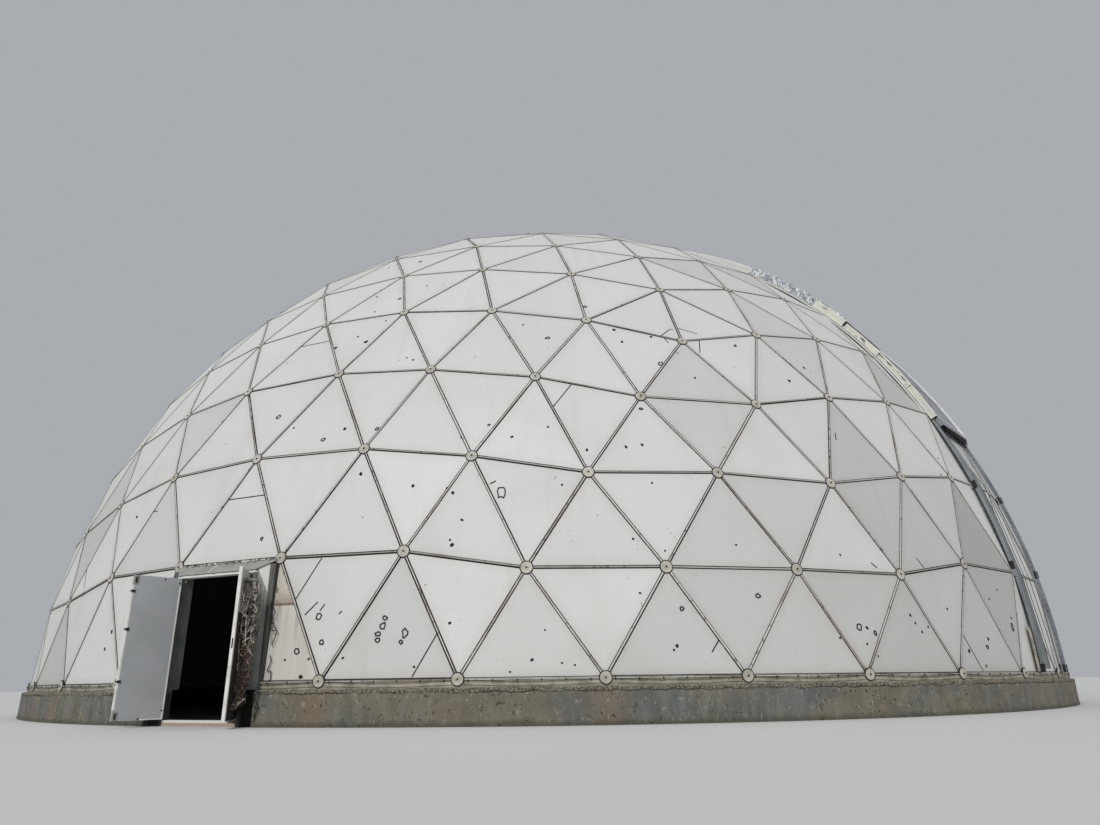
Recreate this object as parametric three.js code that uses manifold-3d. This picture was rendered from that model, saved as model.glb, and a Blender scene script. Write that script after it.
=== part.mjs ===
// Observatory dome: a frequency-eight geodesic half sphere on a concrete plinth,
// with a double-leaf door and a slit closed by two sliding covers.
// Millimetres, +Z up, origin on the ground at the dome's axis, door towards -Y.

import * as THREE from "three";
import { mergeVertices } from "three/addons/utils/BufferGeometryUtils.js";
import { ConvexGeometry } from "three/addons/geometries/ConvexGeometry.js";
import Module from "manifold-3d";

const wasm = await Module();
wasm.setup();

// Driving dimensions
const SEAT_GAP = 0.3;
const OVERLAP = 1;
const CUTTER_REACH = 500;
const MERGE_DISTANCE = 0.01;
const ROUND_FACETS = 16;
const SPHERE_RADIUS = 15000;
const EQUATOR_Z = 700;
const FREQUENCY = 8;
const PANEL_THICKNESS = 80;
const PANEL_INSET = 0.25;

const PLINTH_HEIGHT = 580;
const PLINTH_OUTER_RADIUS = 15150;
const PLINTH_WIDTH = 420;
const PLINTH_FACETS = 160;
const BASE_SEGMENTS = 4;
const STRIP_OUTER_RADIUS = 15040;
const STRIP_INNER_RADIUS = 14860;
const STRIP_FACETS = 40;

const DOORWAY_HALF_WIDTH = 1230;
const DOORWAY_TOP_Z = EQUATOR_Z + 2095;
const DOOR_CLEAR_HALF_WIDTH = 850;
const DOOR_HEAD_Z = EQUATOR_Z + 1840;
const JAMB_WIDTH = 80;
const JAMB_FACE = 15040;
const JAMB_BACK = 14900;
const LINTEL_FACE = 15060;
const LINTEL_HEIGHT = 60;
const SILL_HEIGHT = 100;
const POST_WIDTH = 138;
const POST_FACE = 14885;
const POST_BACK = 14745;
const CHEEK_THICKNESS = 38;
const CHEEK_SETBACK = 40;
const HEADER_THICKNESS = 35;
const HEADER_TOP_FACE = 14800;
const HEADER_CLEARANCE = 3;
const GUSSET_THICKNESS = 6;
const GUSSET_FOOT_Z = EQUATOR_Z + 1500;
const GUSSET_OUTER_DROP = 8;
const GUSSET_INNER_DROP = 16;

const LEAF_WIDTH = 834;
const LEAF_THICKNESS = 45;
const LEAF_SIDE_GAP = 10;
const LEAF_TOP_GAP = 10;
const LEAF_BOTTOM_GAP = 15;
const HINGE_AXIS_OFFSET = 15;
const LEAF_FACE_OFFSET = 20;
const KNUCKLE_RADIUS = 11;
const KNUCKLE_HEIGHT = 80;
const HINGE_HEIGHTS = [330, 1330, 2300];
const STRAP_START = 2;
const STRAP_END = 70;
const STRAP_FACE = 8;
const LATCH_HEIGHTS = [740, 1600, 2250];
const LATCH_CASE = { setback: 50, edge: 8, depth: 15, halfHeight: 20 };
const LATCH_BOLT = { throw: 30, lift: 6, halfHeight: 12 };
const LEFT_LEAF_OPEN = THREE.MathUtils.degToRad(109);
const RIGHT_LEAF_OPEN = THREE.MathUtils.degToRad(125);

const SLIT_AZIMUTH = THREE.MathUtils.degToRad(72);
const SLIT_HALF_WIDTH = 1100;
const SLIT_START = 25.5;
const SLIT_END = 96.5;
const ARC_FACETS = 240;
const RAIL_START = 0.1;
const RAIL_END = 122;
const RAIL_CENTRE = 1205;
const RAIL_WEB = 20;
const RAIL_BOTTOM_RADIUS = 14957;
const RAIL_TOP_RADIUS = 15025;
const RAIL_FLANGE_WIDTH = 205;
const RAIL_FLANGE_THICKNESS = 18;
const BRACKET_ANGLES = [0.5, 8.05, 16.2, 24.1, 31.6, 39.4, 46.7, 55, 63, 71, 79, 87, 95, 103, 111, 119];
const BRACKET_LENGTH = 150;
const BRACKET_INNER = 1120;
const BRACKET_OUTER = 1260;
const BRACKET_TOP_RADIUS = 15005;
const BRACKET_DEPTH = 250;

const COVER_SKIN = 15;
const COVER_SKIRT_RADIUS = 14975;
const LOWER_COVER = { start: 23.3, end: 62, halfWidth: 1285, top: 15127 };
const UPPER_COVER = { start: 37, end: 100, halfWidth: 1315, top: 15170 };
const ROLLER_RADIUS = 35;
const ROLLER_WIDTH = 40;
const AXLE_RADIUS = 12;
const ROLLER_CLEARANCE = 0.5;
const LOWER_ROLLER_ANGLES = [25.5, 43.5, 60];
const UPPER_ROLLER_ANGLE = 99;
const PAD = { angle: 39, inner: 1100, outer: 1180, halfLength: 40 };

// Materials
function finish(colour, roughness, metalness) {
  return new THREE.MeshStandardMaterial({ color: colour, roughness, metalness });
}
const panelWhite = () => finish(0xd2d2d0, 0.55, 0.1);
const concrete = () => finish(0x6e6c62, 0.95, 0);
const stripPaint = () => finish(0xb9b4a5, 0.7, 0.2);
const darkSteel = () => finish(0x3c3e3c, 0.6, 0.6);
const greyPaint = () => finish(0xa5a5a2, 0.6, 0.2);
const leafGrey = () => finish(0x8c9194, 0.5, 0.3);
const trimWhite = () => finish(0xdad8d2, 0.5, 0.1);
const coverCream = () => finish(0xdedccd, 0.55, 0.2);

const dome = new THREE.Group();

function addPiece(parent, name, geometry, material) {
  geometry.computeVertexNormals();
  const mesh = new THREE.Mesh(geometry, material);
  mesh.name = name;
  parent.add(mesh);
  return mesh;
}

// Solids
function signedVolume(vertices, triangles) {
  const a = new THREE.Vector3();
  const b = new THREE.Vector3();
  const c = new THREE.Vector3();
  let volume = 0;
  for (let i = 0; i < triangles.length; i += 3) {
    a.fromArray(vertices, triangles[i] * 3);
    b.fromArray(vertices, triangles[i + 1] * 3);
    c.fromArray(vertices, triangles[i + 2] * 3);
    volume += a.dot(b.cross(c)) / 6;
  }
  return volume;
}

function solidOf(geometry) {
  const bare = geometry.clone();
  bare.deleteAttribute("normal");
  bare.deleteAttribute("uv");
  const merged = mergeVertices(bare, MERGE_DISTANCE);
  const vertProperties = Float32Array.from(merged.attributes.position.array);
  const triVerts = Uint32Array.from(merged.index.array);
  if (signedVolume(vertProperties, triVerts) < 0) {
    for (let i = 0; i < triVerts.length; i += 3) {
      [triVerts[i + 1], triVerts[i + 2]] = [triVerts[i + 2], triVerts[i + 1]];
    }
  }
  return new wasm.Manifold(new wasm.Mesh({ numProp: 3, vertProperties, triVerts }));
}

function geometryOf(solid) {
  const mesh = solid.getMesh();
  const geometry = new THREE.BufferGeometry();
  const stride = mesh.numProp;
  const positions = new Float32Array((mesh.vertProperties.length / stride) * 3);
  for (let i = 0; i < positions.length / 3; i += 1) {
    for (let k = 0; k < 3; k += 1) {
      positions[i * 3 + k] = mesh.vertProperties[i * stride + k];
    }
  }
  geometry.setAttribute("position", new THREE.BufferAttribute(positions, 3));
  geometry.setIndex(new THREE.BufferAttribute(Uint32Array.from(mesh.triVerts), 1));
  return geometry;
}

function join(solids) {
  return solids.reduce((sum, solid) => sum.add(solid));
}

function block(low, high) {
  const size = new THREE.Vector3(high[0] - low[0], high[1] - low[1], high[2] - low[2]);
  const geometry = new THREE.BoxGeometry(size.x, size.y, size.z);
  geometry.translate((low[0] + high[0]) / 2, (low[1] + high[1]) / 2, (low[2] + high[2]) / 2);
  return solidOf(geometry);
}

function convex(points) {
  return solidOf(new ConvexGeometry(points.map((point) => new THREE.Vector3(...point))));
}

function upright(outline, lowZ, highZ) {
  const shape = new THREE.Shape(outline.map(([x, y]) => new THREE.Vector2(x, y)));
  const geometry = new THREE.ExtrudeGeometry(shape, { depth: highZ - lowZ, bevelEnabled: false });
  geometry.translate(0, 0, lowZ);
  return solidOf(geometry);
}

function mirrored(points, side) {
  return points.map(([x, ...rest]) => [x * side, ...rest]);
}

// A fan of the plane between two angles, reaching past every radius used here
const FAN_REACH = PLINTH_OUTER_RADIUS * 1.2;
const FAN_STEP = 20;

function fanOutline(start, end) {
  const steps = Math.ceil((end - start) / FAN_STEP);
  const outline = [[0, 0]];
  for (let i = 0; i <= steps; i += 1) {
    const angle = THREE.MathUtils.degToRad(start + ((end - start) * i) / steps);
    outline.push([FAN_REACH * Math.cos(angle), FAN_REACH * Math.sin(angle)]);
  }
  return outline;
}

// Rings about the dome's axis
function ringAboutZ(inner, outer, lowZ, highZ, facets) {
  const profile = [[inner, lowZ], [outer, lowZ], [outer, highZ], [inner, highZ], [inner, lowZ]];
  const points = profile.map(([radius, z]) => new THREE.Vector2(radius, z));
  const geometry = new THREE.LatheGeometry(points, facets);
  geometry.rotateX(Math.PI / 2);
  return solidOf(geometry);
}

function baseFan(index) {
  const pitch = 360 / BASE_SEGMENTS;
  const trim = THREE.MathUtils.radToDeg(SEAT_GAP / 2 / SPHERE_RADIUS);
  const start = -90 + index * pitch + trim;
  return upright(fanOutline(start, start + pitch - 2 * trim), -OVERLAP, EQUATOR_Z);
}

function doorwayBlock(halfWidth, lowZ, highZ) {
  const front = -PLINTH_OUTER_RADIUS - CUTTER_REACH;
  const back = -PLINTH_OUTER_RADIUS + PLINTH_WIDTH + CUTTER_REACH;
  return block([-halfWidth, front, lowZ], [halfWidth, back, highZ]);
}

const doorwayInPlinth = doorwayBlock(DOORWAY_HALF_WIDTH + SEAT_GAP, -OVERLAP, EQUATOR_Z);

function addBase() {
  const plinth = ringAboutZ(
    PLINTH_OUTER_RADIUS - PLINTH_WIDTH, PLINTH_OUTER_RADIUS, 0, PLINTH_HEIGHT, PLINTH_FACETS,
  ).subtract(doorwayInPlinth);
  const strip = ringAboutZ(
    STRIP_INNER_RADIUS, STRIP_OUTER_RADIUS, PLINTH_HEIGHT + SEAT_GAP, EQUATOR_Z - SEAT_GAP / 2, STRIP_FACETS,
  ).subtract(doorwayInPlinth);
  for (let i = 0; i < BASE_SEGMENTS; i += 1) {
    const fan = baseFan(i);
    addPiece(dome, `plinth_${i + 1}`, geometryOf(plinth.intersect(fan)), concrete());
    addPiece(dome, `base_strip_${i + 1}`, geometryOf(strip.intersect(fan)), stripPaint());
  }
}

// Geodesic shell
function directionAt(azimuthDegrees, latitude) {
  const azimuth = THREE.MathUtils.degToRad(azimuthDegrees);
  return new THREE.Vector3(
    Math.cos(latitude) * Math.sin(azimuth),
    -Math.cos(latitude) * Math.cos(azimuth),
    Math.sin(latitude),
  );
}

const RING_LATITUDE = Math.atan(0.5);
const zenith = new THREE.Vector3(0, 0, 1);
const upperCorner = (k) => directionAt(36 + 72 * k, RING_LATITUDE);
const lowerCorner = (k) => directionAt(72 * (k + 1), -RING_LATITUDE);

// Hub direction by repeated halving of the face's edges, weights i, j and k on b, c and a
function hubDirection(a, b, c, i, j) {
  const k = FREQUENCY - i - j;
  if (i === FREQUENCY) return b.clone();
  if (j === FREQUENCY) return c.clone();
  if (k === FREQUENCY) return a.clone();
  let step = 1;
  while (i % (2 * step) === 0 && j % (2 * step) === 0 && k % (2 * step) === 0) step *= 2;
  const odd = (count) => (count / step) % 2 !== 0;
  let shift = [0, step];
  if (odd(i) && odd(j)) shift = [step, -step];
  else if (odd(i)) shift = [step, 0];
  const first = hubDirection(a, b, c, i + shift[0], j + shift[1]);
  const second = hubDirection(a, b, c, i - shift[0], j - shift[1]);
  return first.add(second).normalize();
}

// One face of the icosahedron, cut down to the hubs that keep(i, j, k) allows
function faceHubs([a, b, c], keep) {
  const hubs = new Map();
  for (let i = 0; i <= FREQUENCY; i += 1) {
    for (let j = 0; i + j <= FREQUENCY; j += 1) {
      if (keep(i, j, FREQUENCY - i - j)) hubs.set(`${i},${j}`, hubDirection(a, b, c, i, j));
    }
  }
  return hubs;
}

function facePanels(hubs) {
  const panels = [];
  for (let i = 0; i < FREQUENCY; i += 1) {
    for (let j = 0; i + j < FREQUENCY; j += 1) {
      panels.push([`${i},${j}`, `${i + 1},${j}`, `${i},${j + 1}`]);
      panels.push([`${i + 1},${j}`, `${i + 1},${j + 1}`, `${i},${j + 1}`]);
    }
  }
  return panels.filter((panel) => panel.every((name) => hubs.has(name)));
}

function orientOutward(panel, hubs) {
  const [a, b, c] = panel.map((name) => hubs.get(name));
  const normal = b.clone().sub(a).cross(c.clone().sub(a));
  return normal.dot(a) > 0 ? panel : [panel[0], panel[2], panel[1]];
}

function shellFace(corners, keep) {
  const hubs = faceHubs(corners, keep);
  const panels = facePanels(hubs).map((panel) => orientOutward(panel, hubs));
  const edgeUse = new Map();
  panels.forEach((panel) => {
    panel.forEach((name, n) => {
      const next = panel[(n + 1) % 3];
      edgeUse.set(`${name}|${next}`, [name, next]);
    });
  });
  const rim = [...edgeUse.values()].filter(([from, to]) => !edgeUse.has(`${to}|${from}`));
  const rimHubs = new Set(rim.flat());
  const centre = new THREE.Vector3();
  hubs.forEach((hub) => centre.add(hub));
  centre.normalize();
  const names = [...hubs.keys()].filter((name) => panels.some((panel) => panel.includes(name)));
  const index = new Map(names.map((name, n) => [name, n]));
  const vertices = [];
  [SPHERE_RADIUS, SPHERE_RADIUS - PANEL_THICKNESS].forEach((radius) => {
    names.forEach((name) => {
      const point = hubs.get(name).clone().multiplyScalar(radius);
      if (rimHubs.has(name)) {
        const pull = centre.clone().multiplyScalar(radius).sub(point).normalize();
        point.addScaledVector(pull, PANEL_INSET);
      }
      vertices.push(point.x, point.y, point.z);
    });
  });
  const triangles = [];
  panels.forEach((panel) => {
    const [p, q, r] = panel.map((name) => index.get(name));
    triangles.push(p, q, r, p + names.length, r + names.length, q + names.length);
  });
  rim.forEach(([from, to]) => {
    const p = index.get(from);
    const q = index.get(to);
    triangles.push(q, p, p + names.length, q, p + names.length, q + names.length);
  });
  const geometry = new THREE.BufferGeometry();
  geometry.setAttribute("position", new THREE.Float32BufferAttribute(vertices, 3));
  geometry.setIndex(triangles);
  return solidOf(geometry);
}

// Slit frame: x across the slit, the angle runs from the horizon over the zenith
function slitFan(start, end, halfWidth) {
  const shape = new THREE.Shape(fanOutline(start, end).map(([x, y]) => new THREE.Vector2(x, y)));
  const geometry = new THREE.ExtrudeGeometry(shape, { depth: 2 * halfWidth, bevelEnabled: false });
  geometry.translate(0, 0, -halfWidth);
  geometry.applyMatrix4(new THREE.Matrix4().makeBasis(
    new THREE.Vector3(0, -1, 0), new THREE.Vector3(0, 0, 1), new THREE.Vector3(-1, 0, 0),
  ));
  return geometry;
}

function turnedToSlit(geometry) {
  return solidOf(geometry.rotateZ(SLIT_AZIMUTH));
}

const wholeFace = () => true;
const lowerFaceRows = (i, j) => j <= FREQUENCY / 2;
const lowerTipRows = (i, j, k) => k >= FREQUENCY / 2;

function halfSpace(side, azimuthDegrees) {
  const far = 2 * SPHERE_RADIUS;
  const geometry = new THREE.BoxGeometry(far, 2 * far, 2 * far);
  geometry.translate((far / 2) * side, 0, 0);
  return solidOf(geometry.rotateZ(THREE.MathUtils.degToRad(azimuthDegrees)));
}

function addShell() {
  const shell = new THREE.Group();
  shell.position.z = EQUATOR_Z;
  dome.add(shell);
  const slit = turnedToSlit(slitFan(SLIT_START, SLIT_END, SLIT_HALF_WIDTH));
  const doorwayTop = DOORWAY_TOP_Z - EQUATOR_Z;
  const doorway = doorwayBlock(DOORWAY_HALF_WIDTH + SEAT_GAP, -CUTTER_REACH, doorwayTop);
  const slitDegrees = THREE.MathUtils.radToDeg(SLIT_AZIMUTH);
  const addPanelSet = (name, solid) => addPiece(shell, name, geometryOf(solid), panelWhite());
  for (let k = 0; k < 5; k += 1) {
    const cap = shellFace([zenith, upperCorner(k), upperCorner(k + 1)], wholeFace).subtract(slit);
    const lower = shellFace([upperCorner(k), upperCorner(k + 1), lowerCorner(k)], lowerFaceRows);
    const tip = shellFace([upperCorner(k), lowerCorner(k - 1), lowerCorner(k)], lowerTipRows);
    if (k === 0) {
      addPanelSet("shell_crown_1_near", cap.intersect(halfSpace(-1, slitDegrees)));
      addPanelSet("shell_crown_1_far", cap.intersect(halfSpace(1, slitDegrees)));
      addPanelSet("shell_band_1", lower.subtract(slit));
    } else {
      addPanelSet(`shell_crown_${k + 1}`, cap);
      if (k < 4) addPanelSet(`shell_band_${k + 1}`, lower);
    }
    addPanelSet(`shell_foot_${k + 1}`, tip);
    if (k === 4) {
      const beside = lower.subtract(doorway);
      const sideWidth = DOORWAY_HALF_WIDTH + SEAT_GAP;
      const column = (halfWidth) => block(
        [-halfWidth, -2 * SPHERE_RADIUS, doorwayTop - OVERLAP], [halfWidth, 0, SPHERE_RADIUS],
      );
      const sides = beside.subtract(column(sideWidth + SEAT_GAP));
      addPanelSet("shell_band_5_over_door", beside.intersect(column(sideWidth)));
      addPanelSet("shell_band_5_left", sides.intersect(halfSpace(-1, 0)));
      addPanelSet("shell_band_5_right", sides.intersect(halfSpace(1, 0)));
    }
  }
}

// Outer surface of the whole shell as one solid, grown by the seat gap, to trim what sits on it
function shellEnvelope() {
  const pieces = [];
  for (let k = 0; k < 5; k += 1) {
    const faces = [
      [[zenith, upperCorner(k), upperCorner(k + 1)], wholeFace],
      [[upperCorner(k), upperCorner(k + 1), lowerCorner(k)], wholeFace],
      [[upperCorner(k), lowerCorner(k - 1), lowerCorner(k)], wholeFace],
      [[lowerCorner(k - 1), lowerCorner(k), zenith.clone().negate()], wholeFace],
    ];
    faces.forEach(([corners, keep]) => {
      const hubs = faceHubs(corners, keep);
      facePanels(hubs).forEach((panel) => {
        pieces.push(orientOutward(panel, hubs).map((name) => hubs.get(name)));
      });
    });
  }
  const radius = SPHERE_RADIUS + SEAT_GAP;
  const positions = pieces.flatMap((panel) => panel.flatMap((hub) => hub.clone().multiplyScalar(radius).toArray()));
  const geometry = new THREE.BufferGeometry();
  geometry.setAttribute("position", new THREE.Float32BufferAttribute(positions, 3));
  geometry.rotateZ(-SLIT_AZIMUTH);
  return solidOf(geometry);
}

// Portal: jambs, lintel, sill, posts and cheeks around the doorway
function hingeX(side) {
  return side * DOOR_CLEAR_HALF_WIDTH;
}

const HINGE_AXIS_Y = -(JAMB_FACE + HINGE_AXIS_OFFSET);

function knuckle(z, height) {
  const geometry = new THREE.CylinderGeometry(KNUCKLE_RADIUS, KNUCKLE_RADIUS, height, ROUND_FACETS);
  geometry.rotateX(Math.PI / 2);
  geometry.translate(0, 0, z);
  return solidOf(geometry);
}

function jamb(side) {
  const low = Math.min(side * DOOR_CLEAR_HALF_WIDTH, side * (DOOR_CLEAR_HALF_WIDTH + JAMB_WIDTH));
  const parts = [block([low, -JAMB_FACE, 0], [low + JAMB_WIDTH, -JAMB_BACK, DOOR_HEAD_Z - SEAT_GAP])];
  const capHeight = KNUCKLE_HEIGHT / 2;
  HINGE_HEIGHTS.forEach((height) => {
    [-1, 1].forEach((end) => {
      const z = height + end * (KNUCKLE_HEIGHT / 2 + capHeight / 2 + SEAT_GAP);
      parts.push(knuckle(z, capHeight).translate([hingeX(side), HINGE_AXIS_Y, 0]));
      const strap = [STRAP_START, STRAP_END].map((x) => side * x + hingeX(side)).sort((a, b) => a - b);
      parts.push(block(
        [strap[0], HINGE_AXIS_Y + STRAP_FACE, z - capHeight / 2],
        [strap[1], -JAMB_FACE + OVERLAP, z + capHeight / 2],
      ));
    });
  });
  return join(parts);
}

const HEADER_SLOPE = (DOORWAY_TOP_Z - DOOR_HEAD_Z - LINTEL_HEIGHT) / (LINTEL_FACE - HEADER_TOP_FACE);

function header() {
  const topZ = DOORWAY_TOP_Z - SEAT_GAP;
  const lowZ = DOOR_HEAD_Z + LINTEL_HEIGHT + SEAT_GAP;
  const topHalf = DOORWAY_HALF_WIDTH;
  const lowHalf = DOOR_CLEAR_HALF_WIDTH + JAMB_WIDTH;
  const points = [-1, 1].flatMap((side) => [
    [side * topHalf, -HEADER_TOP_FACE, topZ],
    [side * topHalf, -HEADER_TOP_FACE + HEADER_THICKNESS, topZ],
    [side * lowHalf, -LINTEL_FACE, lowZ],
    [side * lowHalf, -LINTEL_FACE + HEADER_THICKNESS, lowZ],
  ]);
  return convex(points);
}

// Underside height of the header at a distance in front of the axis
function headerUnderside(distance) {
  return DOOR_HEAD_Z + LINTEL_HEIGHT + (LINTEL_FACE - HEADER_THICKNESS - distance) * HEADER_SLOPE;
}

const POST_INNER = DOORWAY_HALF_WIDTH - POST_WIDTH;
const CHEEK_OUTER = { x: DOOR_CLEAR_HALF_WIDTH + JAMB_WIDTH + SEAT_GAP, face: JAMB_FACE - CHEEK_SETBACK };
const CHEEK_INNER = { x: POST_INNER + OVERLAP, face: POST_FACE };

function portalSide(side) {
  const post = mirrored([
    [POST_INNER, -POST_FACE], [DOORWAY_HALF_WIDTH, -POST_FACE],
    [DOORWAY_HALF_WIDTH, -POST_BACK], [POST_INNER, -POST_BACK],
  ], side);
  const postTop = headerUnderside(POST_FACE) - HEADER_CLEARANCE;
  const cheekLine = [CHEEK_OUTER, CHEEK_INNER];
  const cheek = cheekLine.flatMap(({ x, face }) => {
    const top = headerUnderside(face) - HEADER_CLEARANCE;
    return [
      [x, -face, PLINTH_HEIGHT], [x, -face + CHEEK_THICKNESS, PLINTH_HEIGHT],
      [x, -face, top], [x, -face + CHEEK_THICKNESS, top],
    ];
  });
  const postSolid = convex(post.flatMap(([x, y]) => [[x, y, PLINTH_HEIGHT], [x, y, postTop]]));
  return postSolid.add(convex(mirrored(cheek, side)));
}

// Distance of the cheek's outer face in front of the axis
function cheekFace(x) {
  const run = (x - CHEEK_OUTER.x) / (CHEEK_INNER.x - CHEEK_OUTER.x);
  return CHEEK_OUTER.face + run * (CHEEK_INNER.face - CHEEK_OUTER.face);
}

// Light triangular plate on the upper part of the cheek
function gusset(side) {
  const outerX = CHEEK_OUTER.x + SEAT_GAP;
  const innerX = POST_INNER - SEAT_GAP;
  const corners = [
    [outerX, headerUnderside(cheekFace(outerX)) - GUSSET_OUTER_DROP],
    [innerX, headerUnderside(cheekFace(innerX)) - GUSSET_INNER_DROP],
    [innerX, GUSSET_FOOT_Z],
  ];
  const points = corners.flatMap(([x, z]) => [
    [x, -cheekFace(x) - SEAT_GAP, z],
    [x, -cheekFace(x) - SEAT_GAP - GUSSET_THICKNESS, z],
  ]);
  return convex(mirrored(points, side));
}

function addPortal() {
  const side = { left: -1, right: 1 };
  Object.entries(side).forEach(([name, sign]) => {
    addPiece(dome, `jamb_${name}`, geometryOf(jamb(sign)), greyPaint());
    addPiece(dome, `portal_side_${name}`, geometryOf(portalSide(sign)), darkSteel());
    addPiece(dome, `gusset_${name}`, geometryOf(gusset(sign)), panelWhite());
  });
  const frameHalf = DOOR_CLEAR_HALF_WIDTH + JAMB_WIDTH;
  const lintel = block(
    [-frameHalf, -LINTEL_FACE, DOOR_HEAD_Z], [frameHalf, -JAMB_BACK, DOOR_HEAD_Z + LINTEL_HEIGHT],
  );
  const sillHalf = DOOR_CLEAR_HALF_WIDTH - SEAT_GAP;
  const sill = block([-sillHalf, -JAMB_FACE, 0], [sillHalf, -JAMB_BACK, SILL_HEIGHT]);
  addPiece(dome, "lintel", geometryOf(lintel), trimWhite());
  addPiece(dome, "header_panel", geometryOf(header()), greyPaint());
  addPiece(dome, "door_sill", geometryOf(sill), trimWhite());
}

// Door leaf about its own hinge axis, closed, reaching towards the other leaf
function leafSolid(side, hasLatches) {
  const lowZ = SILL_HEIGHT + LEAF_BOTTOM_GAP;
  const highZ = DOOR_HEAD_Z - LEAF_TOP_GAP;
  const near = LEAF_SIDE_GAP;
  const far = LEAF_SIDE_GAP + LEAF_WIDTH;
  const inward = LEAF_FACE_OFFSET + LEAF_THICKNESS;
  const span = (from, to) => [-side * from, -side * to].sort((a, b) => a - b);
  const slab = (from, to, front, back, low, high) => {
    const [left, right] = span(from, to);
    return block([left, front, low], [right, back, high]);
  };
  const parts = [slab(near, far, LEAF_FACE_OFFSET, inward, lowZ, highZ)];
  HINGE_HEIGHTS.forEach((height) => {
    parts.push(knuckle(height, KNUCKLE_HEIGHT));
    const half = KNUCKLE_HEIGHT / 2;
    parts.push(slab(STRAP_START, STRAP_END, STRAP_FACE, LEAF_FACE_OFFSET + OVERLAP, height - half, height + half));
  });
  if (hasLatches) {
    LATCH_HEIGHTS.forEach((height) => {
      const from = far - LATCH_CASE.setback;
      const back = inward + LATCH_CASE.depth;
      const rise = LATCH_CASE.halfHeight;
      const slim = LATCH_BOLT.halfHeight;
      parts.push(slab(from, far - LATCH_CASE.edge, inward - OVERLAP, back, height - rise, height + rise));
      parts.push(slab(from, far + LATCH_BOLT.throw, inward + LATCH_BOLT.lift, back, height - slim, height + slim));
    });
  }
  return join(parts);
}

function addDoorLeaves() {
  const leaves = [
    { name: "left_door_leaf", side: -1, angle: -LEFT_LEAF_OPEN, latches: true },
    { name: "right_door_leaf", side: 1, angle: RIGHT_LEAF_OPEN, latches: false },
  ];
  leaves.forEach(({ name, side, angle, latches }) => {
    const hinge = new THREE.Group();
    hinge.position.set(hingeX(side), HINGE_AXIS_Y, 0);
    hinge.rotation.z = angle;
    dome.add(hinge);
    addPiece(hinge, name, geometryOf(leafSolid(side, latches)), leafGrey());
  });
}

// Slit rails, brackets and covers, in a group turned to the slit
const slitGroup = new THREE.Group();
slitGroup.position.z = EQUATOR_Z;
slitGroup.rotation.z = SLIT_AZIMUTH;
dome.add(slitGroup);

// A section of [across, radius] points swept about the sphere's centre
function arcSweep(section, start, end) {
  const points = [...section, section[0]].map(([across, radius]) => new THREE.Vector2(radius, across));
  const geometry = new THREE.LatheGeometry(points, ARC_FACETS);
  geometry.rotateZ(-Math.PI / 2);
  return solidOf(geometry).intersect(solidOf(slitFan(start, end, SPHERE_RADIUS)));
}

function rail(side) {
  const webOut = RAIL_CENTRE + RAIL_WEB / 2;
  const webIn = RAIL_CENTRE - RAIL_WEB / 2;
  const flangeIn = webIn - RAIL_FLANGE_WIDTH;
  const flangeTop = RAIL_BOTTOM_RADIUS + RAIL_FLANGE_THICKNESS;
  const section = [
    [webOut, RAIL_BOTTOM_RADIUS], [webOut, RAIL_TOP_RADIUS], [webIn, RAIL_TOP_RADIUS],
    [webIn, flangeTop], [flangeIn, flangeTop], [flangeIn, RAIL_BOTTOM_RADIUS],
  ];
  return arcSweep(mirrored(section, side), RAIL_START, RAIL_END);
}

// Block about x, turned so that its own +Y points out along the radius at an angle
function blockAtAngle(low, high, angle) {
  const geometry = new THREE.BoxGeometry(high[0] - low[0], high[1] - low[1], high[2] - low[2]);
  geometry.translate((low[0] + high[0]) / 2, (low[1] + high[1]) / 2, (low[2] + high[2]) / 2);
  geometry.rotateX(Math.PI - THREE.MathUtils.degToRad(angle));
  return solidOf(geometry);
}

// Foot plate under the rail and an ear beside its web, trimmed to the panels below
function brackets(side, envelope) {
  const half = BRACKET_LENGTH / 2;
  const foot = [side * BRACKET_INNER, side * BRACKET_OUTER].sort((a, b) => a - b);
  const ear = [side * (RAIL_CENTRE + RAIL_WEB / 2 - OVERLAP), side * BRACKET_OUTER].sort((a, b) => a - b);
  const footTop = RAIL_BOTTOM_RADIUS + OVERLAP;
  const floor = SPHERE_RADIUS - BRACKET_DEPTH;
  return BRACKET_ANGLES.map((angle) => {
    const plate = blockAtAngle([foot[0], floor, -half], [foot[1], footTop, half], angle);
    const lug = blockAtAngle([ear[0], floor, -half], [ear[1], BRACKET_TOP_RADIUS, half], angle);
    return plate.add(lug).subtract(envelope);
  });
}

function roller(side, angle, skirtInner) {
  const radius = RAIL_TOP_RADIUS + ROLLER_CLEARANCE + ROLLER_RADIUS;
  const wheel = new THREE.CylinderGeometry(ROLLER_RADIUS, ROLLER_RADIUS, ROLLER_WIDTH, ROUND_FACETS);
  wheel.rotateZ(Math.PI / 2);
  wheel.translate(side * RAIL_CENTRE, radius, 0);
  const axleLength = skirtInner + OVERLAP - RAIL_CENTRE;
  const axle = new THREE.CylinderGeometry(AXLE_RADIUS, AXLE_RADIUS, axleLength, ROUND_FACETS);
  axle.rotateZ(Math.PI / 2);
  axle.translate(side * (RAIL_CENTRE + axleLength / 2), radius, 0);
  const turn = Math.PI - THREE.MathUtils.degToRad(angle);
  return solidOf(wheel.rotateX(turn)).add(solidOf(axle.rotateX(turn)));
}

// Sheet over the slit between the skirts, on the cover's own arc
function coverTop({ start, end, halfWidth, top }) {
  const under = top - COVER_SKIN;
  return arcSweep([[-halfWidth, under], [-halfWidth, top], [halfWidth, top], [halfWidth, under]], start, end);
}

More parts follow.
